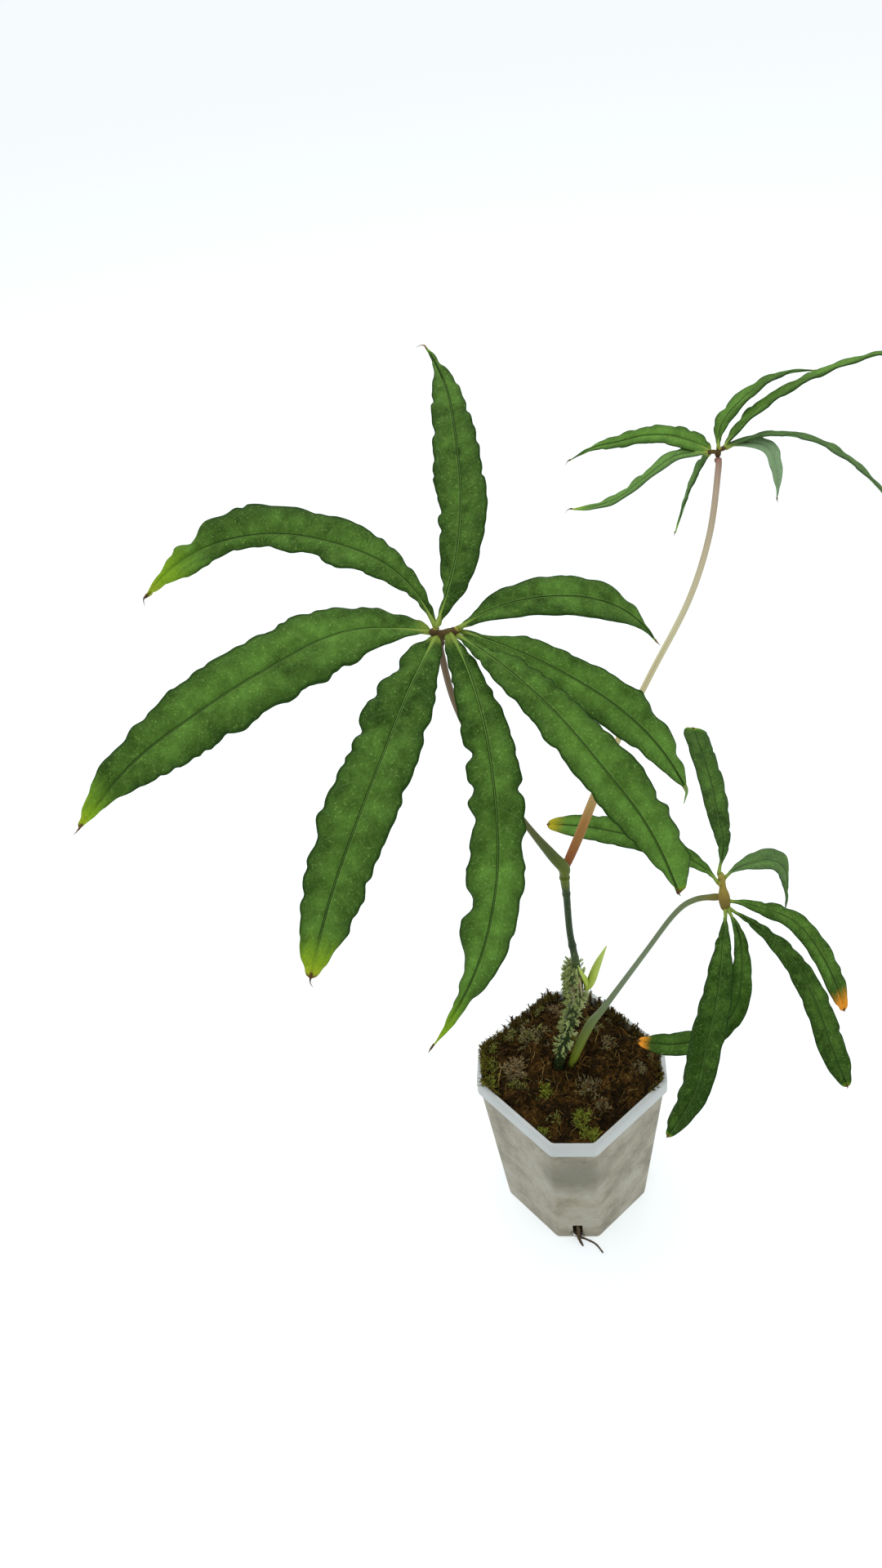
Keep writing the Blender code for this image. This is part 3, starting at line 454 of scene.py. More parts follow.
def pot_material(name):
    """Frosted polypropylene, moulded thin: milky, half clear, so the wet moss inside shows as blots, and painted
    shade darkens the near chamfer.
    """
    material, tree, shader = new_material(name)
    place = add(tree, "ShaderNodeTexCoord").outputs["Object"]
    height = add(tree, "ShaderNodeSeparateXYZ", {0: place}).outputs[2]
    blots = add(tree, "ShaderNodeTexNoise", {"Vector": place, "Scale": 1 / (20 * MM), "Detail": 3.0,
                                             "Roughness": 0.6}).outputs[0]
    strands = add(tree, "ShaderNodeTexNoise", {"Vector": place, "Scale": 1 / (4 * MM), "Detail": 3.0,
                                               "Distortion": 1.5}).outputs[0]
    both = add(tree, "ShaderNodeMath", {0: strands, 1: 0.35, 2: blots}, operation="MULTIPLY_ADD").outputs[0]
    skin = add(tree, "ShaderNodeValToRGB", {0: both}, stops=(
        (0.48, "6E6852"), (0.60, "857E67"), (0.70, "958D77"), (0.80, "9D9785"), (0.92, "A4A292"))).outputs[0]
    # Painted shade: the wall darkens round a point on the near chamfer 68 mm up, on the front of the pot that lies
    # in shade.
    corner = (-(POT_TOP - POT_CHAMFER) / 2 * MM, -(POT_TOP - POT_CHAMFER) / 2 * MM, 68 * MM)
    near_chamfer_shade = add(tree, "ShaderNodeVectorMath", {0: place, 1: corner}, operation="DISTANCE").outputs["Value"]
    near_chamfer_shade = add(tree, "ShaderNodeMapRange", {"Value": near_chamfer_shade, "From Min": 25 * MM, "From Max": 7 * MM,
                                            "To Max": 0.75}, interpolation_type="SMOOTHSTEP").outputs[0]
    skin = add(tree, "ShaderNodeMix", {"Factor": near_chamfer_shade, "A": skin, "B": linear("5F5C48")},
               data_type="RGBA").outputs["Result"]
    rim = (POT_HEIGHT - LIP_HEIGHT) * MM
    full = add(tree, "ShaderNodeMapRange", {"Value": height, "From Min": rim - 2.5 * MM,
                                            "From Max": rim + 1.0 * MM}).outputs[0]
    milky = add(tree, "ShaderNodeMix", {"Factor": blots, "A": linear("B2B5B2"), "B": linear("C8CBCB")},
                data_type="RGBA").outputs["Result"]
    skin = add(tree, "ShaderNodeMix", {"Factor": full, "A": skin, "B": milky}, data_type="RGBA").outputs["Result"]
    tree.links.new(skin, shader.inputs["Base Color"])
    frost = add(tree, "ShaderNodeTexNoise", {"Vector": place, "Scale": 1 / (0.6 * MM), "Detail": 2.0}).outputs[0]
    shader.inputs["Roughness"].default_value = 0.45
    shader.inputs["IOR"].default_value = 1.49
    shader.inputs["Specular IOR Level"].default_value = 0.4
    relief = add(tree, "ShaderNodeBump", {"Height": frost, "Strength": 0.25, "Distance": 0.08 * MM})
    tree.links.new(relief.outputs[0], shader.inputs["Normal"])
    return material


def turned(points):
    """Places in metres in the pot's directions of layout points in mm."""
    c, s = math.cos(PLANT_TURN), math.sin(PLANT_TURN)
    turn = np.array([[c, s, 0], [-s, c, 0], [0, 0, 1]])
    return np.asarray(points, float) @ turn * MM


def curve_through(stations, steps):
    """Smooth curve through rows of numbers, with the same steps between each pair."""
    rows = np.array(stations, float)
    rows = np.vstack([2 * rows[0] - rows[1], rows, 2 * rows[-1] - rows[-2]])
    points = []
    for a, b, c, d in zip(rows, rows[1:], rows[2:], rows[3:]):
        for u in np.arange(steps) / steps:
            points.append(0.5 * (2 * b + (c - a) * u + (2 * a - 5 * b + 4 * c - d) * u ** 2
                                 + (3 * b - a - 3 * c + d) * u ** 3))
    points.append(rows[-2])
    return np.array(points)


def unit(rows):
    return rows / np.linalg.norm(rows, axis=-1, keepdims=True)


def between(rows, u):
    """Rows at shares u of a run of evenly spaced rows."""
    ticks = np.linspace(0, 1, len(rows))
    return np.stack([np.interp(u, ticks, rows[:, k]) for k in range(rows.shape[1])], -1)


def marks(mesh, **values):
    """Number the same all over a mesh, or one for each vertex, kept as an attribute."""
    for name in ("light", "gain", "tip", "orange", "back"):
        layer = mesh.attributes.get(name) or mesh.attributes.new(name, "FLOAT", "POINT")
        layer.data.foreach_set("value", np.full(len(mesh.vertices), values.get(name, 0.0), np.float32))
    return mesh


def sheet_mesh(along, across, shape, blade=None):
    """Grid laid out by a formula of its shares along and across, which it keeps as UVs."""
    bm = bmesh.new()
    bmesh.ops.create_grid(bm, x_segments=along, y_segments=across, size=1)
    mesh = bpy.data.meshes.new("sheet")
    bm.to_mesh(mesh)
    bm.free()
    flat = np.zeros(len(mesh.vertices) * 3)
    mesh.vertices.foreach_get("co", flat)
    flat = flat.reshape(-1, 3)
    u, v = (flat[:, 0] + 1) / 2, flat[:, 1]
    corners = np.zeros(len(mesh.loops), int)
    mesh.loops.foreach_get("vertex_index", corners)
    share = np.stack([u, (v + 1) / 2], -1)
    mesh.uv_layers.new(name="share").data.foreach_set("uv", share[corners].ravel())
    lengths = blade(u, v) if blade else share
    mesh.uv_layers.new(name="blade").data.foreach_set("uv", lengths[corners].ravel())
    mesh.vertices.foreach_set("co", shape(u, v).ravel())
    return mesh


def tube_mesh(path, radii, sides, flat=1.0, shares=None):
    """Round skin along a path: a sheet rolled up, welded along its seam and closed."""
    path, radii = np.asarray(path, float), np.asarray(radii, float)
    steps = len(path) - 1
    along = unit(np.gradient(path, axis=0))
    across = np.zeros_like(path)
    side = np.array(Vector(along[0]).orthogonal().normalized())
    for i, direction in enumerate(along):
        side = side - direction * side.dot(direction)
        side = side / np.linalg.norm(side)
        across[i] = side
    other = np.cross(along, across)

    def shape(u, v):
        row = np.rint(u * steps).astype(int)
        angle = np.pi * v
        ring = across[row] * np.cos(angle)[:, None] + other[row] * (np.sin(angle) * flat)[:, None]
        return path[row] + ring * radii[row][:, None]

    mesh = sheet_mesh(steps, sides, shape)
    if shares is not None:
        layer = mesh.uv_layers["share"].data
        uv = np.zeros(len(mesh.loops) * 2)
        layer.foreach_get("uv", uv)
        uv = uv.reshape(-1, 2)
        uv[:, 0] = shares[0] + (shares[1] - shares[0]) * uv[:, 0]
        layer.foreach_set("uv", uv.ravel())
    bm = bmesh.new()
    bm.from_mesh(mesh)
    bmesh.ops.remove_doubles(bm, verts=bm.verts, dist=0.000001)
    bmesh.ops.holes_fill(bm, edges=[edge for edge in bm.edges if edge.is_boundary], sides=0)
    bmesh.ops.recalc_face_normals(bm, faces=bm.faces)
    bm.to_mesh(mesh)
    bm.free()
    return mesh


def ball_mesh(place, radii, divisions=3, share=0.0):
    """Egg at a layout place in mm."""
    bm = bmesh.new()
    bm.loops.layers.uv.new("share")
    bm.loops.layers.uv.new("blade")
    bmesh.ops.create_icosphere(bm, subdivisions=divisions, radius=MM)
    bmesh.ops.scale(bm, vec=radii, verts=bm.verts)
    bmesh.ops.rotate(bm, matrix=Matrix.Rotation(PLANT_TURN, 3, "Z"), verts=bm.verts)
    bmesh.ops.translate(bm, vec=Vector(turned(place)), verts=bm.verts)
    mesh = bpy.data.meshes.new("ball")
    bm.to_mesh(mesh)
    bm.free()
    uv = np.tile((share, 0.5), len(mesh.loops))
    mesh.uv_layers["share"].data.foreach_set("uv", uv)
    return mesh


def piece(name, meshes, materials, node):
    """One object from several meshes, which stands for a node and rides with the part."""
    bm = bmesh.new()
    for mesh in meshes:
        bm.from_mesh(mesh)
        bpy.data.meshes.remove(mesh)
    joined = bpy.data.meshes.new(name)
    bm.to_mesh(joined)
    bm.free()
    joined.shade_smooth()
    for material in materials:
        joined.materials.append(material)
    body = bpy.data.objects.new(name, joined)
    bpy.context.scene.collection.objects.link(body)
    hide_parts(node)
    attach(body, "root")
    return body


def leaflet_route(hub, stations, spec):
    """Places of the rib and its side and up directions at the stations of the part's source."""
    length, heading, rise, roll, foot, raised, sway = *spec[:4], spec[6], spec[7], spec[10]
    place = turned(np.add(hub, foot))
    aside = curve_through([(value,) for value in sway], 12)[:, 0]
    knob = turned(KNOB_WAY * raised)
    rows = []
    for i in range(stations + 1):
        t = i / stations
        at = [float(np.interp(t, np.linspace(0, 1, len(v)), v)) for v in (heading, rise, roll)]
        h, r = math.radians(at[0]) + PLANT_TURN, math.radians(at[1])
        along = Vector((math.cos(r) * math.cos(h), math.cos(r) * math.sin(h), math.sin(r)))
        side = Vector((-math.sin(h), math.cos(h), 0))
        up = along.cross(side)
        turn = Matrix.Rotation(math.radians(at[2]), 3, along)
        moved = place + np.array(turn @ side) * np.interp(t, np.linspace(0, 1, len(aside)), aside) * MM
        moved = moved + knob * math.exp(-(t * length / 16) ** 2)
        rows.append((*moved, *(turn @ side), *(turn @ up)))
        place = place + np.array(along) * length * MM / stations
    return curve_through(rows, 3)


def margin(t, length, row):
    """Half width of a blade in mm at shares t, without its notches, and how deep they cut."""
    width, foot, power, shoulder, end, notches = row
    opening = np.sin(np.pi / 2 * np.clip(t / foot, 0, 1)) ** power
    closing = np.cos(np.pi / 2 * np.clip((t - shoulder) / (1 - shoulder), 0, 0.9999)) ** end
    cut = np.zeros_like(t)
    for at, depth, wide in notches:
        away = (t - at) * length / wide
        cut += depth * np.exp(-np.abs(np.where(away < 0, away / 0.75, away / 1.25)) ** 2.2)
    return width * opening * closing, cut


def blade_mesh(route, spec, rng):
    """Notched blade with a sunk rib, halves that arch and turn down at the margin, and quilting."""
    length, fold, height = spec[0], math.radians(spec[4]), spec[5]
    count, depth = spec[8]
    yellow, orange, light, gain, back = spec[9][:5]
    sides = []
    for row in spec[11:13]:
        small = tuple(((k + rng.uniform(0.3, 0.7)) / count, depth * rng.uniform(0.3, 1.9), rng.uniform(1.0, 2.2))
                      for k in range(count))
        sides.append((*row[:5], row[5] + small))
    start = rng.uniform(0, 2 * math.pi)

    def spread(v):
        return np.sign(v) * (0.72 * np.abs(v) + 0.28 * np.abs(v) ** 2.2)

    def reach_of(t, v):
        (left, left_cut), (right, right_cut) = (margin(t, length, row) for row in sides)
        half, cut = np.where(v < 0, right, left), np.where(v < 0, right_cut, left_cut)
        cut = cut * np.clip(half / 2.5, 0, 1)
        least = 0.13 + 0.25 * np.clip(1 - t / 0.03, 0, 1)
        return half, np.maximum(half - cut, least), cut

    def shape(u, v):
        rows = between(route, u)
        place, side, up = rows[:, :3], unit(rows[:, 3:6]), unit(rows[:, 6:9])
        v = spread(v)
        away = np.abs(v)
        half, reach, cut = reach_of(u, v)
        x = reach * v
        arch = 0.055 * half * 4 * away * (1 - away) - 0.05 * half * np.clip(away - 0.75, 0, 1) * 4
        groove = -0.30 * np.exp(-(x / 0.5) ** 2) * np.clip(half / 4, 0, 1)
        phase = (u * length - 0.62 * np.abs(x)) / 5.5
        quilt = 0.05 * np.cos(2 * np.pi * phase) * np.clip(half / 5, 0, 1) * np.sin(np.pi * away)
        wave = 0.35 * height * np.sin(2 * np.pi * u * length / 13 + start + 2 * v)
        lift = (wave - 0.6 * cut) * np.clip(half / 4, 0, 1)
        rise = np.abs(x) * math.sin(fold) + lift * away ** 2.4 + arch + groove + quilt
        return place + side * (x * math.cos(fold) * MM)[:, None] + up * (rise * MM)[:, None]

    def lengths(u, v):
        half, reach, _ = reach_of(u, spread(v))
        return np.stack([u * length * MM, reach * spread(v) * MM], -1)

    mesh = sheet_mesh(round(length / STEP_ALONG), COLUMNS, shape, lengths)
    return marks(mesh, tip=yellow, orange=orange, light=light, gain=gain, back=back)


def rib_mesh(route, spec):
    """Raised rib below the blade: a stout stalk at the foot, a fine keel further on."""
    length = spec[0]
    u = np.linspace(0, 0.985, round(length / 1.5))
    rows = between(route, u)
    radius = 0.30 + 0.62 * np.exp(-u / 0.10) - 0.16 * u
    sunk = np.interp(u, (0, 0.04, 0.10), (0.1, 0.25, 1.0)) * (BLADE_THICKNESS * 0.75)
    drop = sunk + radius * np.interp(u, (0, 0.04, 0.10), (0.3, 0.5, 0.55))
    path = rows[:, :3] - unit(rows[:, 6:9]) * (drop * MM)[:, None]
    return marks(tube_mesh(path, radius * MM, 10, shares=(0.06, 1.0)), light=0.5)


def thread_mesh(route, spec, rng):
    """Dried thread in which the drip tip ends."""
    rows = between(route, np.linspace(0.985, 1.0, 3))
    path = list(rows[:, :3])
    way = unit(path[-1] - path[0])
    side = unit(rows[-1, 3:6]) * rng.choice((-1, 1))
    length, tone = spec[9][5:7]
    living = max(0, 2 * tone - 1)
    side = side * (1 - living) + unit(rows[-1, 3:6]) * TAIL_CURL * living
    for _ in range(7):
        way = unit(way + side * rng.uniform(-0.1, 0.35) + np.array((0, 0, -0.16)))
        path.append(path[-1] + way * rng.uniform(0.12, 0.17) * length * MM)
    radii = np.interp(np.linspace(0, 1, len(path)), (0, 0.25, 0.5, 1), (0.34, 0.30, 0.16, 0.05)) * MM
    return marks(tube_mesh(path, radii * (1 + 1.5 * living), 6), light=tone)


def hub_meshes(spec, feet):
    """Knuckles in which the petiole ends, with a short stalk from them to each leaflet's foot."""
    hub, stout, knob = spec["hub"], spec["knuckle"], spec["knob"]
    leaflets = spec["leaflets"]
    meshes = []
    if knob:
        rows = curve_through(knob, 5)
        path = turned(np.add(hub, rows[:, :1] * KNOB_WAY))
        meshes.append(tube_mesh(path, rows[:, 1] * MM, 16, shares=(0.030, 0.052)))
        joins = [(KNOB_WAY * row[7] * 0.9, foot) for row, foot in zip(leaflets, feet)]
    else:
        joins = []
        for right in (False, True):
            group = [(row[6], foot) for row, foot in zip(leaflets, feet) if (row[6][0] >= 0) == right]
            end = np.mean([near for near, _ in group], axis=0)
            path = turned(np.add(hub, curve_through(((0, 0, -2.6), (0, 0, -0.8), end * 0.6, end), 4)))
            meshes.append(tube_mesh(path, np.full(len(path), 1.2 * stout * MM), 12, shares=(0.0, 0.03)))
            meshes.append(ball_mesh(np.add(hub, end), np.array((1.6, 1.5, 1.4)) * stout))
            joins += [(end, foot) for _, foot in group]
        meshes.append(ball_mesh(np.add(hub, (0, 0, -1.2)), np.array((1.8, 1.8, 2.2)) * stout))
    for start, foot in joins:
        path = np.linspace(turned(np.add(hub, start)), foot, 3)
        meshes.append(tube_mesh(path, np.full(3, stout * 0.9 * MM), 10, shares=(0.02, 0.06)))
    return [marks(mesh, light=0.3) for mesh in meshes]


def leaf(name, blades, stalks, thread):
    """Blades, hub with ribs, and dried threads of one compound leaf."""
    spec = LEAVES[name]
    rng = random.Random(name)
    sheets, ribs, threads = [], [], []
    routes = [leaflet_route(spec["hub"], spec["stations"], row) for row in spec["leaflets"]]
    for row, route in zip(spec["leaflets"], routes):
        sheets.append(blade_mesh(route, row, rng))
        ribs.append(rib_mesh(route, row))
        threads.append(thread_mesh(route, row, rng))
    ribs += hub_meshes(spec, [route[0, :3] for route in routes])
    body = piece(name + "_blades", sheets, blades, name)
    wall = body.modifiers.new("thickness", "SOLIDIFY")
    wall.thickness = BLADE_THICKNESS * MM
    wall.offset = -1
    wall.use_even_offset = True
    wall.material_offset = 1
    piece(name + "_ribs", ribs, [stalks], name)
    piece(name + "_threads", threads, [thread], name)


def stalk_piece(name, stations, material, rings=(), flat=1.0, sides=20, node=None):
    """Round stalk along a table of layout stations, with raised rings at given shares."""
    rows = curve_through(stations, 14)
    u = np.linspace(0, 1, len(rows))
    radii = rows[:, 3].copy()
    for share, rise, spread in rings:
        radii += rise * np.exp(-((u - share) / spread) ** 2)
    mesh = marks(tube_mesh(turned(rows[:, :3]), radii * MM, sides, flat), light=0.5)
    return piece(name, [mesh], [material], node or name)


def strand_template(rng, length, radius, bend, sides=3, steps=5):
    """Short crooked fibre that starts at the origin and runs along x, in mm."""
    way = np.array((1.0, 0.0, 0.0))
    points = [np.zeros(3)]
    for _ in range(steps):
        way = unit(way + np.array([rng.uniform(-bend, bend) for _ in range(3)]))
        points.append(points[-1] + way * length / steps)
    radii = np.interp(np.linspace(0, 1, steps + 1), (0, 0.3, 1), (0.6, 1, 0.35)) * radius
    return marks(tube_mesh(np.array(points) * MM, radii * MM, sides))


def sprig_template(rng, length, prongs):
    """Bog moss sprig along x, in mm: a soft stalk set round with short pointed leaves."""
    bm = bmesh.new()
    stalk = strand_template(rng, length, 0.35, 0.25, 3, 3)
    bm.from_mesh(stalk)
    bpy.data.meshes.remove(stalk)
    for k in range(prongs):
        made = bmesh.ops.create_cone(bm, segments=3, radius1=0.42 * MM, radius2=0.02 * MM,
                                     depth=rng.uniform(1.5, 2.4) * MM, cap_ends=True)
        turn = Matrix.Rotation(2.4 * k, 4, "X") @ Matrix.Rotation(rng.uniform(0.5, 1.1), 4, "Y")
        share = (k + 1.5) / (prongs + 1)
        move = Matrix.Translation((length * share * MM, 0, 0)) @ turn
        move = move @ Matrix.Translation((0, 0, 0.7 * MM))
        bmesh.ops.transform(bm, matrix=move, verts=made["verts"])
    mesh = bpy.data.meshes.new("sprig")
    bm.to_mesh(mesh)
    bm.free()
    return marks(mesh)


def crumb_template(rng):
    """Angular crumb of peat about a millimetre across."""
    bm = bmesh.new()
    bm.loops.layers.uv.new("share")
    bm.loops.layers.uv.new("blade")
    bmesh.ops.create_icosphere(bm, subdivisions=1, radius=0.9 * MM)
    for vertex in bm.verts:
        vertex.co *= rng.uniform(0.6, 1.2)
    bmesh.ops.scale(bm, vec=(1.3, 0.9, 0.7), verts=bm.verts)
    mesh = bpy.data.meshes.new("crumb")
    bm.to_mesh(mesh)
    bm.free()
    return marks(mesh)


def scatter(templates, places, rng):
    """Copies of small templates at matrices, each with its own tone."""
    bm = bmesh.new()
    for matrix, light in places:
        copy = rng.choice(templates).copy()
        copy.transform(matrix)
        marks(copy, light=light)
        bm.from_mesh(copy)
        bpy.data.meshes.remove(copy)
    mesh = bpy.data.meshes.new("scatter")
    bm.to_mesh(mesh)
    bm.free()
    return mesh


def aimed(place, way, roll, size=1.0):
    """Matrix that puts a template's foot at a place and its x axis along a way."""
    turn = Vector(way).to_track_quat("X", "Z").to_matrix().to_4x4()
    return Matrix.Translation(place) @ turn @ Matrix.Rotation(roll, 4, "X") @ Matrix.Scale(size, 4)


# Tufts of bog moss on the medium: layout x and y in mm, radius in mm, tone from pinkish
# beige to yellow green, and how many sprigs.
TUFTS = (
    (-3, 36, 4.0, 0.10, 46), (-0.5, 31, 3.6, 0.12, 38), (-14.4, 16.8, 6.4, 0.38, 90),
    (-26.5, 0.9, 5.4, 0.05, 74), (-27.7, -7.5, 5.0, 0.55, 60), (-15.6, -14.6, 4.4, 0.95, 56),
    (19.7, 8.1, 4.6, 0.25, 54), (31.9, -5.7, 4.2, 0.22, 46), (5.9, -13.9, 5.0, 0.20, 60),
    (10, -23.8, 4.4, 0.15, 44), (0.1, -30.8, 4.6, 0.80, 56), (1.8, -37.5, 4.8, 0.88, 60),
    (-19, -34.5, 4.0, 0.80, 40), (-12, -27, 3.6, 0.55, 26), (14.4, 20.3, 4.4, 0.50, 44),
    (-31.3, 26, 4.8, 0.45, 50), (-38.5, 8, 4.4, 0.72, 44), (-40.5, -2, 4.4, 0.85, 44),
    (-36, 17, 4.0, 0.60, 34), (-21, 31, 4.0, 0.35, 32), (-11, 39, 3.8, 0.40, 30),
    (3, 41, 3.6, 0.50, 26), (14, 38, 3.6, 0.35, 24), (25, 27, 3.8, 0.30, 26),
    (34, 12, 3.6, 0.25, 22), (40, 0, 3.4, 0.30, 20), (3, 12, 3.2, 0.70, 22),
)


def ground_finder(body):
    """Function that gives the height of a body's top below a point, or None beside it."""
    tree = BVHTree.FromObject(body, bpy.context.evaluated_depsgraph_get())

    def height(x, y):
        hit = tree.ray_cast(Vector((x, y, 0.2)), Vector((0, 0, -1)))
        return hit[0].z if hit[0] and hit[0].z > 0.085 else None

    return height


def inwards(at, way, length):
    """Turns a strand to the pot's axis when it would run through the wall."""
    end = at + way * length * MM
    if max(abs(end.x), abs(end.y)) > 36 * MM or abs(end.x) + abs(end.y) > 59 * MM:
        level = -math.hypot(way.x, way.y) / math.hypot(at.x, at.y)
        way.x, way.y = at.x * level, at.y * level


def growing_medium(crumbs, fibres, moss, fringe_moss):
    """Peaty fill with its clumps, roughened, then strewn with fibres, crumbs and moss tufts."""
    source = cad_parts["growing_medium"]
    bm = bmesh.new()
    bm.from_mesh(source.data)
    bmesh.ops.remove_doubles(bm, verts=bm.verts, dist=0.00001)
    mesh = bpy.data.meshes.new("medium")
    bm.to_mesh(mesh)
    bm.free()
    body = piece("growing_medium_body", [mesh], [crumbs], "growing_medium")
    voxels = body.modifiers.new("even", "REMESH")
    voxels.mode = "VOXEL"
    voxels.voxel_size = 0.9 * MM
    graph = bpy.context.evaluated_depsgraph_get()
    fine = bpy.data.meshes.new_from_object(body.evaluated_get(graph), depsgraph=graph)
    body.modifiers.clear()
    old = body.data
    body.data = fine
    bpy.data.meshes.remove(old)
    fine.name = "growing_medium_body"
    fine.materials.clear()
    fine.materials.append(crumbs)
    fine.shade_smooth()
    roughen(fine)
    height = ground_finder(body)
    rng = random.Random(21)
    half = POT_TOP / 2 - 3.0

    def spot(reach):
        while True:
            x, y = rng.uniform(-reach, reach) * MM, rng.uniform(-reach, reach) * MM
            if abs(x) + abs(y) < (2 * half - POT_CHAMFER - 1) * MM:
                z = height(x, y)
                if z:
                    return Vector((x, y, z))

    strands = [strand_template(rng, rng.uniform(7, 13), rng.uniform(0.22, 0.4), 0.5) for _ in range(9)]
    places = []
    for _ in range(1500):
        at = spot(half)
        heading, lift = rng.uniform(0, 2 * math.pi), rng.uniform(-0.05, 0.42)
        way = Vector((math.cos(heading), math.sin(heading), lift))
        inwards(at, way, 15)
        at.z -= 0.4 * MM
        places.append((aimed(at, way, rng.uniform(0, 6.28), rng.uniform(0.5, 1.1)), rng.uniform(0, 1)))
    grit = [crumb_template(rng) for _ in range(6)]
    bits = []
    for _ in range(700):
        at = spot(half)
        way = Vector((rng.uniform(-1, 1), rng.uniform(-1, 1), rng.uniform(-0.3, 0.3)))
        bits.append((aimed(at, way, rng.uniform(0, 6.28), rng.uniform(0.5, 1.5)), rng.uniform(0, 0.7)))
    piece("growing_medium_fibres", [scatter(strands, places, rng), scatter(grit, bits, rng)], [fibres],
          "growing_medium")
    sprigs = [sprig_template(rng, rng.uniform(4.0, 6.5), 9) for _ in range(8)]
    places = []
    for x, y, radius, tone, count in TUFTS:
        middle = turned((x, y, 0))
        level = height(middle[0], middle[1]) or 98.5 * MM
        for _ in range(count):
            lean = math.sqrt(rng.random())
            angle = rng.uniform(0, 2 * math.pi)
            away = 0.95 * radius * lean * MM
            at = Vector((middle[0] + away * math.cos(angle), middle[1] + away * math.sin(angle), level))
            at.z += (0.6 - 1.6 * lean) * MM
            way = Vector((math.cos(angle) * lean * 0.5, math.sin(angle) * lean * 0.5, 1.0 - 0.6 * lean))
            way += Vector((rng.uniform(-0.9, 0.9), rng.uniform(-0.9, 0.9), rng.uniform(-0.3, 0.3)))
            inwards(at, way, 7)
            at -= way.normalized() * 1.6 * MM
            beyond = max(abs(at.x), abs(at.y), (abs(at.x) + abs(at.y)) * 0.61) / (36.6 * MM)
            at.x, at.y = at.x / max(beyond, 1), at.y / max(beyond, 1)
            places.append((aimed(at, way, rng.uniform(0, 6.28), rng.uniform(0.6, 0.95) * radius / 4.6),
                           min(max(tone + rng.uniform(-0.16, 0.16), 0), 1)))
    piece("growing_medium_moss", [scatter(sprigs, places, rng)], [moss], "growing_medium")
    fringe = []
    inner, across = POT_TOP / 2 - POT_WALL * 2, POT_TOP - POT_CHAMFER - 2 * math.sqrt(2) * POT_WALL
    for _ in range(330):
        # Angles in the layout, from the right over the back to the left of the pot.
        wide = rng.random() < 0.2
        spot_angle = math.radians(rng.uniform(-32, 60) if wide else rng.triangular(8, 205, 160))
        angle = spot_angle + PLANT_TURN
        c, d = abs(math.cos(angle)), abs(math.sin(angle))
        edge = min(inner / max(c, 0.01), inner / max(d, 0.01), across / (c + d))
        away = (edge - rng.uniform(0.3, 3.5)) * MM
        at = Vector((away * math.cos(angle), away * math.sin(angle), rng.uniform(96, 98.5) * MM))
        way = Vector((math.cos(angle) * 0.7, math.sin(angle) * 0.7, rng.uniform(0.5, 1.1)))
        way += Vector((rng.uniform(-0.5, 0.5), rng.uniform(-0.5, 0.5), 0))
        climb = (POT_HEIGHT + 0.5) * MM - at.z
        way.z = max(way.z, climb / (edge * MM - away) * math.hypot(way.x, way.y))
        tone = 0.35 + 0.4 * math.exp(-((math.degrees(spot_angle) - 178) / 22) ** 2)
        fringe.append((aimed(at, way, rng.uniform(0, 6.28), rng.uniform(0.7, 1.15)),
                       min(max(tone + rng.uniform(-0.25, 0.2), 0), 1)))
    piece("growing_medium_fringe", [scatter(sprigs, fringe, rng)], [fringe_moss], "growing_medium")


def roughen(mesh):
    """Crumbly surface: points move inwards by noise at two scales, most on the open top."""
    count = len(mesh.vertices)
    co, normals = np.zeros(count * 3), np.zeros(count * 3)
    mesh.vertices.foreach_get("co", co)
    mesh.vertices.foreach_get("normal", normals)
    co, normals = co.reshape(-1, 3), normals.reshape(-1, 3)
    rng = np.random.default_rng(8)
    depth = np.zeros(count)
    for size, amount in ((2.2, 0.8), (1.1, 0.5)):
        for _ in range(5):
            wave = rng.normal(size=3)
            wave *= 2 * np.pi / (size * MM) / np.linalg.norm(wave) * rng.uniform(0.7, 1.3)
            depth += amount / 5 * (np.sin(co @ wave + rng.uniform(0, 6.28)) + 1)
    top = np.clip((co[:, 2] - 90 * MM) / (6 * MM), 0.12, 1)
    base = np.clip(co[:, 2] / (4 * MM), 0, 1)
    co -= normals * (depth * top * base * 0.7 * MM)[:, None]
    mesh.vertices.foreach_set("co", co.ravel())
    mesh.update()


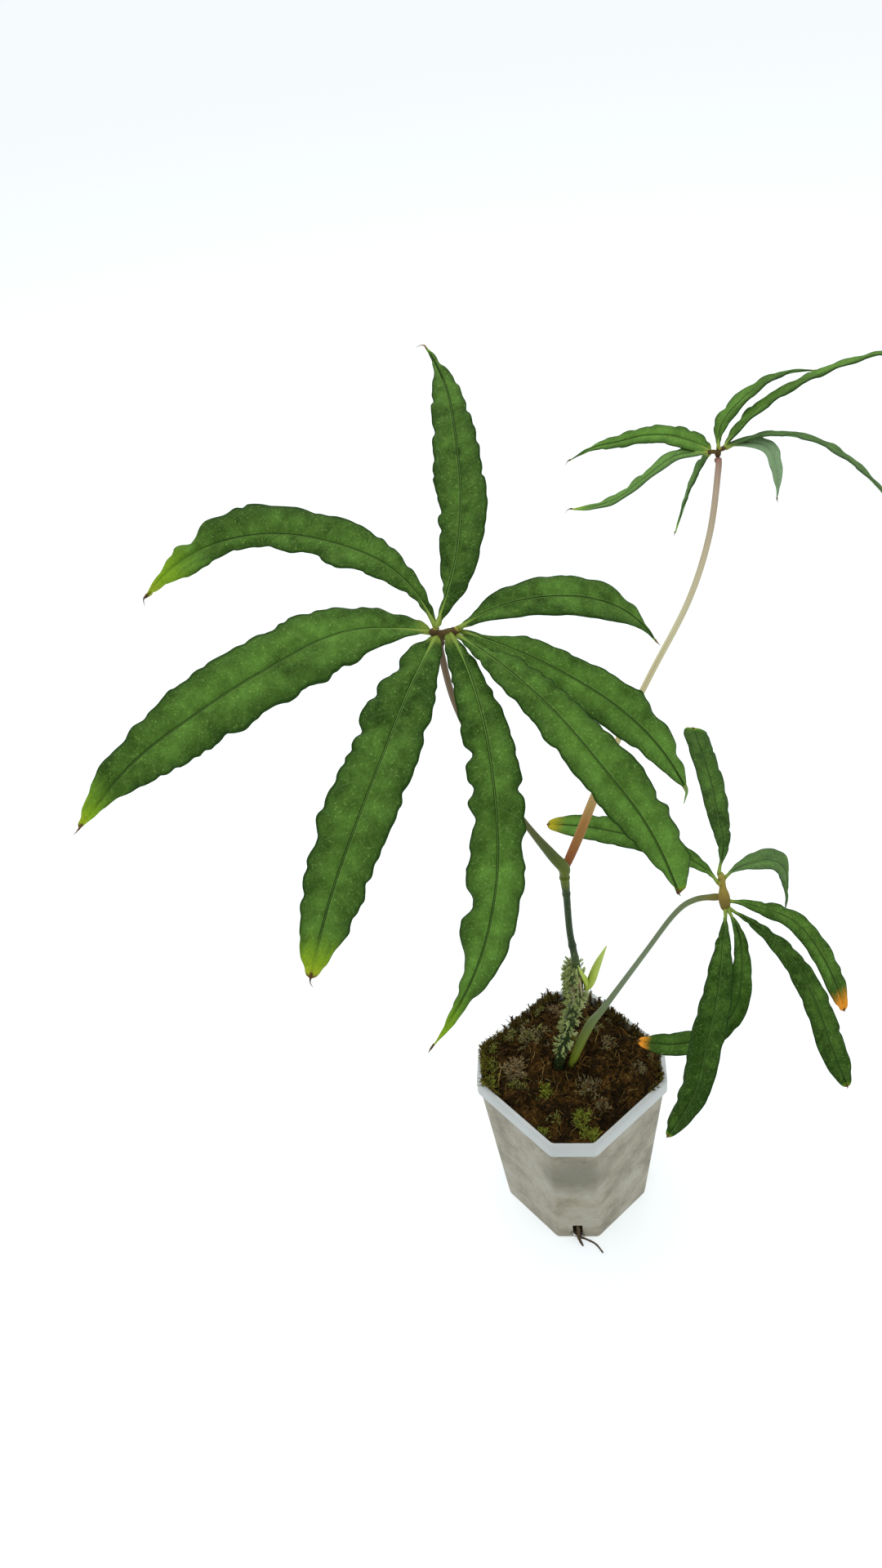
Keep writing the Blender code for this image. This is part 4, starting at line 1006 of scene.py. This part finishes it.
def rooting_node(stem_skin, root_skin, moss):
    """Stem with its swollen node, the roots that hang from it and the moss caught there."""
    rng = random.Random(5)
    rows = curve_through(STEM, 14)
    u = np.linspace(0, 1, len(rows))
    radii = rows[:, 3].copy()
    for share, rise, spread in ((0.24, 0.35, 0.01), (0.62, 0.3, 0.008), (0.80, 0.25, 0.008), (0.97, 0.3, 0.02)):
        radii += rise * np.exp(-((u - share) / spread) ** 2)
    skin = [marks(tube_mesh(turned(rows[:, :3]), radii * MM, 24), light=0.5)]
    skin.append(marks(ball_mesh((4, 0.3, 163), (3.4, 3.2, 6.3), 4, share=0.5), light=0.5))
    piece("stem_body", skin, [stem_skin], "stem")
    roots = []
    for k in range(16):
        angle = math.radians(100 + 360 * k / 16 + rng.uniform(-12, 12))
        length = rng.uniform(6, 11)
        start = np.array((4, 0.3, 168 - 1.1 * (k % 8)))
        out = np.array((math.cos(angle), math.sin(angle), 0))
        down = np.array((0, 0, -1.0))
        rows = [start + out * 1.5, start + out * 3.4 + down * 0.6, start + out * 4.3 + down * length * 0.5,
                start + out * rng.uniform(3.6, 5.6) + down * length]
        path = turned(curve_through(rows, 5))
        radii = np.interp(np.linspace(0, 1, len(path)), (0, 0.6, 1), (0.75, 0.6, 0.25)) * MM
        roots.append(marks(tube_mesh(path, radii, 8), light=rng.uniform(0, 1)))
    piece("stem_aerial_roots", roots, [root_skin], "stem")
    sprigs = [sprig_template(rng, rng.uniform(2.6, 4.2), 8) for _ in range(6)]
    places = []
    levels = [rng.uniform(149, 174) for _ in range(230)] + [rng.triangular(104, 150, 148) for _ in range(150)]
    for z in levels:
        angle = rng.uniform(0, 2 * math.pi)
        if z > 153 and math.cos(angle + math.radians(25)) > 0.45:
            angle += math.pi
        reach = 2.5 + 1.6 * math.sin(math.pi * (z - 148) / 26) if z > 148 else 2.2
        middle = np.interp(z, (100, 130, 152, 176), (-6.5, 0, 4.5, 4.5))
        at = turned((middle + reach * math.cos(angle), 0.2 + reach * math.sin(angle), z))
        way = Vector(turned((math.cos(angle), math.sin(angle), rng.uniform(-0.6, 1.0))))
        # Painted light: sprigs on the stem's left, where the light falls, are made lighter on top of each one's own
        # random tone.
        left = 0.5 - 0.5 * math.cos(angle - math.radians(170))
        places.append((aimed(Vector(at), way, rng.uniform(0, 6.28), rng.uniform(0.5, 0.9)),
                       min(max(0.25 + 0.4 * left + rng.uniform(-0.2, 0.2), 0), 1)))
    piece("stem_moss", [scatter(sprigs, places, rng)], [moss], "stem")


def pot(plastic):
    """Tapered, chamfered pot: a bevelled prism whose rim is drawn up, over the lip and down inside."""
    bm = bmesh.new()
    bmesh.ops.create_cube(bm, size=1)
    bmesh.ops.scale(bm, vec=(POT_BASE, POT_BASE, 10), verts=bm.verts)
    bmesh.ops.translate(bm, vec=(0, 0, 5), verts=bm.verts)
    for offset, segments in ((POT_CHAMFER, 1), (POT_CORNER_RADIUS * math.tan(math.pi / 8), 4)):
        upright = [e for e in bm.edges if abs(e.verts[0].co.z - e.verts[1].co.z) > 5]
        bmesh.ops.bevel(bm, geom=upright, offset=offset, segments=segments, profile=0.5,
                        affect="EDGES", material=-1)
    bm.normal_update()
    top = [f for f in bm.faces if f.normal.z > 0.9]
    bmesh.ops.delete(bm, geom=top, context="FACES_ONLY")
    taper = (POT_TOP - 2 * LIP_STEP - POT_BASE) / 2
    lip = POT_HEIGHT - LIP_HEIGHT

    def place(verts, z, grow, inset):
        for vertex in verts:
            x, y = vertex.co.x, vertex.co.y
            small = math.sqrt(2) - 1
            shift_x, shift_y = (1, small) if abs(x) > abs(y) else (small, 1)
            vertex.co.x = x + math.copysign(1, x) * (grow - inset * shift_x)
            vertex.co.y = y + math.copysign(1, y) * (grow - inset * shift_y)
            vertex.co.z = z

    # Height, growth of the width from the station before, and how far the skin moves inwards.
    wall_top = 0.35
    stations = [(4, 4 / lip * taper, 0)]
    stations += [(z, (z - before) / lip * taper, 0) for before, z in zip(range(4, 81, 7), range(11, 89, 7))]
    last = stations[-1][0]
    stations += [
        (lip - wall_top, (lip - wall_top - last) / lip * taper, 0),
        (lip, wall_top, 0), (lip + 0.4, LIP_STEP - wall_top - 0.25, 0), (lip + 1.0, 0.25, 0),
        (POT_HEIGHT - 0.9, 0, 0), (POT_HEIGHT - 0.35, 0, 0.15), (POT_HEIGHT, 0, 0.55),
        (POT_HEIGHT, 0, 1.35), (POT_HEIGHT - 0.4, 0, 0.30), (POT_HEIGHT - 1.2, 0, 0.05),
        (lip, 0, 0), (60, -taper * (lip - 60) / lip, 0), (30, -taper * 30 / lip, 0),
        (POT_FLOOR + 1.0, -taper * 27 / lip, 0), (POT_FLOOR, 0, 0.8),
    ]
    low = [v for v in bm.verts if v.co.z < 1]
    place(low, 0.8, 0, 0)
    floor_face = [f for f in bm.faces if f.normal.z < -0.9]
    made = bmesh.ops.inset_region(bm, faces=floor_face, thickness=0.6, depth=0)
    for face in floor_face:
        for vertex in face.verts:
            vertex.co.z = 0
    ring = [v for v in bm.verts if v.co.z > 9]
    place(ring, 4, 4 / lip * taper, 0)
    edges = [e for e in bm.edges if e.is_boundary]
    for z, grow, inset in stations[1:]:
        made = bmesh.ops.extrude_edge_only(bm, edges=edges)["geom"]
        edges = [g for g in made if isinstance(g, bmesh.types.BMEdge) and g.is_boundary]
        place({vertex for edge in edges for vertex in edge.verts}, z, grow, inset)
    bmesh.ops.holes_fill(bm, edges=edges, sides=0)
    bmesh.ops.scale(bm, vec=(MM, MM, MM), verts=bm.verts)
    bmesh.ops.recalc_face_normals(bm, faces=bm.faces)
    mesh = bpy.data.meshes.new("pot_shell")
    bm.to_mesh(mesh)
    bm.free()
    shell = piece("pot_shell", [mesh], [plastic], "pot")
    cutter = bmesh.new()
    for quarter in range(4):
        made = bmesh.ops.create_cube(cutter, size=1)["verts"]
        bmesh.ops.scale(cutter, vec=(SLOT_DEPTH, SLOT_WIDTH, 2 * SLOT_HEIGHT), verts=made)
        bmesh.ops.translate(cutter, vec=(SLOT_REACH, 0, 0), verts=made)
        turn = Matrix.Rotation(math.radians(45 + 90 * quarter), 3, "Z")
        bmesh.ops.rotate(cutter, matrix=turn, verts=made)
    bmesh.ops.scale(cutter, vec=(MM, MM, MM), verts=cutter.verts)
    slots = bpy.data.meshes.new("pot_slots")
    cutter.to_mesh(slots)
    cutter.free()
    tool = bpy.data.objects.new("pot_slots", slots)
    bpy.context.scene.collection.objects.link(tool)
    cut = shell.modifiers.new("slots", "BOOLEAN")
    cut.object = tool
    cut.operation = "DIFFERENCE"
    graph = bpy.context.evaluated_depsgraph_get()
    fine = bpy.data.meshes.new_from_object(shell.evaluated_get(graph), depsgraph=graph)
    shell.modifiers.clear()
    old = shell.data
    shell.data = fine
    fine.name = "pot_shell"
    fine.shade_smooth()
    fine.set_sharp_from_angle(angle=math.radians(28))
    bpy.data.meshes.remove(old)
    bpy.data.objects.remove(tool)
    bpy.data.meshes.remove(slots)
    return shell


def drain_roots(material):
    """Roots below the near slot, a little knotty."""
    rng = random.Random(9)
    diagonal = np.array((-1, -1, 0)) / math.sqrt(2)
    beside = np.array((1, -1, 0)) / math.sqrt(2)
    meshes = []
    for rows in (THICK_ROOT, THIN_ROOT):
        path = curve_through(rows, 10)
        centres = [(diagonal * row[0] + beside * row[1] + np.array((0, 0, row[2]))) * MM for row in path]
        radii = [row[3] * MM * rng.uniform(0.85, 1.12) for row in path]
        meshes.append(marks(tube_mesh(centres, radii, 12), light=0.5))
    strands = [strand_template(rng, rng.uniform(4, 7), rng.uniform(0.25, 0.45), 0.6) for _ in range(6)]
    places = []
    for _ in range(260):
        at = (diagonal * rng.uniform(34.0, 36.4) + beside * rng.uniform(-2.3, 2.3)) * MM
        at[2] = rng.triangular(0.8, 12.5, 1.5) * MM
        way = beside * rng.uniform(-1, 1) + diagonal * rng.uniform(-0.1, 0.3)
        way[2] = rng.uniform(-1.6, 0.4) if at[2] > 8 * MM else rng.uniform(0.1, 1.2)
        places.append((aimed(Vector(at), way, rng.uniform(0, 6.28), rng.uniform(0.35, 0.7)), rng.uniform(0, 0.5)))
    meshes.append(scatter(strands, places, rng))
    piece("drain_root_strands", meshes, [material], "drain_root")


def camera():
    """Camera where the photograph was taken, held with a slight roll."""
    ahead = Vector((0, math.cos(LOOK_DOWN), -math.sin(LOOK_DOWN)))
    upright = Vector((0, math.sin(LOOK_DOWN), math.cos(LOOK_DOWN)))
    right = Vector((1, 0, 0))
    c, s = math.cos(CAMERA_ROLL), math.sin(CAMERA_ROLL)
    held_right, held_up = right * c + upright * s, upright * c - right * s
    axes = Matrix((held_right, held_up, -ahead)).transposed()
    axes = Matrix.Rotation(PLANT_TURN, 3, "Z") @ axes
    lens = bpy.data.cameras.new("camera")
    lens.sensor_width = SENSOR
    lens.lens = SENSOR * FOCAL_PIXELS / PHOTO_HEIGHT
    lens.clip_start = 0.01
    body = bpy.data.objects.new("camera", lens)
    body.matrix_world = Matrix.Translation(Vector(turned(EYE))) @ axes.to_4x4()
    bpy.context.scene.collection.objects.link(body)
    bpy.context.scene.camera = body


def studio():
    """White sweep, a bright even dome and a broad soft lamp above."""
    bm = bmesh.new()
    bmesh.ops.create_grid(bm, x_segments=1, y_segments=1, size=12)
    bmesh.ops.translate(bm, vec=(0, 0, -0.05 * MM), verts=bm.verts)
    mesh = bpy.data.meshes.new("floor")
    bm.to_mesh(mesh)
    bm.free()
    floor = bpy.data.objects.new("floor", mesh)
    bpy.context.scene.collection.objects.link(floor)
    material, tree, shader = new_material("white_paper")
    shader.inputs["Base Color"].default_value = (0.50, 0.51, 0.51, 1)
    shader.inputs["Roughness"].default_value = 0.8
    shader.inputs["Specular IOR Level"].default_value = 0.1
    shader.inputs["Emission Color"].default_value = (0.93, 0.98, 1.0, 1)
    shader.inputs["Emission Strength"].default_value = 0.66
    mesh.materials.append(material)
    world = bpy.data.worlds.new("studio")
    bpy.context.scene.world = world
    world.use_nodes = True
    back = world.node_tree.nodes["Background"]
    back.inputs[0].default_value = (0.93, 0.98, 1.0, 1)
    back.inputs[1].default_value = 0.62
    for name, place, size, power in (("key", (-0.1, 0.3, 1.5), 2.0, 15), ("fill", (0.9, -1.2, 1.2), 1.4, 3)):
        lamp = bpy.data.lights.new(name, "AREA")
        lamp.size = size
        lamp.energy = power
        holder = bpy.data.objects.new(name, lamp)
        spot = Vector(turned(np.array(place) / MM))
        aim = Vector((0, 0, 0.2)) - spot
        holder.matrix_world = Matrix.Translation(spot) @ aim.to_track_quat("-Z", "Y").to_matrix().to_4x4()
        bpy.context.scene.collection.objects.link(holder)
    bpy.context.scene.view_settings.view_transform = "Standard"


def main():
    camera()
    studio()
    upper = blade_material("anthurium_leaf_upper_side", "253F08", "608B35", "8CB060", "1D380C", "1B3306",
                           0.60, 0.08)
    under = blade_material("anthurium_leaf_underside", "5F7F4A", "78955F", "94AE7C", "55753F", "7C9A5C",
                           0.62, 0.12)
    ribs = stalk_material("leaf_hub_and_rib_skin", (
        (0.0, "4C3B1E"), (0.030, "5E4D26"), (0.040, "8E7C36"), (0.052, "9A9040"), (0.065, "83953E"),
        (0.16, "5F8434"), (1.0, "6F934A")))
    thread = strand_material("dried_tip", ((0.0, "3A2412"), (0.6, "8A6A48"), (1.0, "6F8F4A")))
    for name in ("leaf_near", "leaf_far", "leaf_low"):
        leaf(name, [upper, under], ribs, thread)
    near = stalk_material("olive_sheath_and_petiole", (
        (0.0, "4E5A14"), (0.10, "5A6416"), (0.20, "54601C"), (0.30, "46541F"), (0.7, "6E5C42"), (1.0, "5A4028")))
    far = stalk_material("reddish_sheath_and_pale_petiole", (
        (0.0, "7A4A2A"), (0.12, "8A5630"), (0.26, "A2763F"), (0.42, "B7A877"), (0.62, "C6BF9A"),
        (0.85, "AE9A86"), (0.95, "8D6A5C"), (1.0, "743F36")))
    low = stalk_material("yellow_green_sheath_and_grey_petiole", (
        (0.0, "6E7A20"), (0.18, "7A8828"), (0.30, "6F7D44"), (0.5, "78856A"), (0.85, "6E7B52"), (1.0, "766A2A")))
    lime = stalk_material("young_sheath", ((0.0, "8FA23C"), (0.5, "A9BC4C"), (1.0, "B9CB6C")), rough=0.4)
    green = stalk_material("dark_green_stem", (
        (0.0, "1A2410"), (0.25, "202F12"), (0.5, "4E5C34"), (0.62, "22351A"), (0.84, "273D1A"),
        (0.90, "525F1A"), (1.0, "59641B")), spots="6E7A46", spotted=0.5)
    root = strand_material("aerial_root_skin", ((0.0, "3B2A1A"), (0.5, "6F5A3C"), (1.0, "A69A78")), 0.8)
    node_moss = strand_material("grey_green_moss", (
        (0.0, "7C8248"), (0.4, "AAB874"), (0.7, "C4CE8C"), (1.0, "D4D4A8")))
    stalk_piece("petiole_near_stalk", PETIOLE_NEAR, near,
                rings=((0.97, 0.35, 0.03),), node="petiole_near")
    stalk_piece("petiole_far_stalk", PETIOLE_FAR, far,
                rings=((0.98, 0.3, 0.03),), node="petiole_far")
    stalk_piece("petiole_low_stalk", PETIOLE_LOW, low,
                rings=((0.97, 0.35, 0.03),), node="petiole_low")
    rooting_node(green, root, node_moss)
    stalk_piece("shoot_long_sheath", LONG_SHEATH, lime, flat=0.75, node="shoot")
    stalk_piece("shoot_short_sheath", SHORT_SHEATH, lime, flat=0.75, node="shoot")
    fibres = strand_material("shredded_fibre", (
        (0.0, "140D04"), (0.35, "2A1B07"), (0.65, "483010"), (0.85, "6A4A1A"), (1.0, "857040")))
    moss = strand_material("bog_moss", (
        (0.0, "97805A"), (0.25, "918460"), (0.5, "868748"), (0.75, "7E8430"), (1.0, "98A23A")))
    fringe_moss = strand_material("brown_rim_moss", (
        (0.0, "3A2A12"), (0.4, "5B4A20"), (0.7, "6E6A28"), (1.0, "8A8A34")))
    growing_medium(crumb_material("damp_peat"), fibres, moss, fringe_moss)
    pot(pot_material("frosted_polypropylene"))
    drain_roots(strand_material("dry_root_skin", ((0.0, "2F2416"), (1.0, "6B5B45")), 0.85))


main()
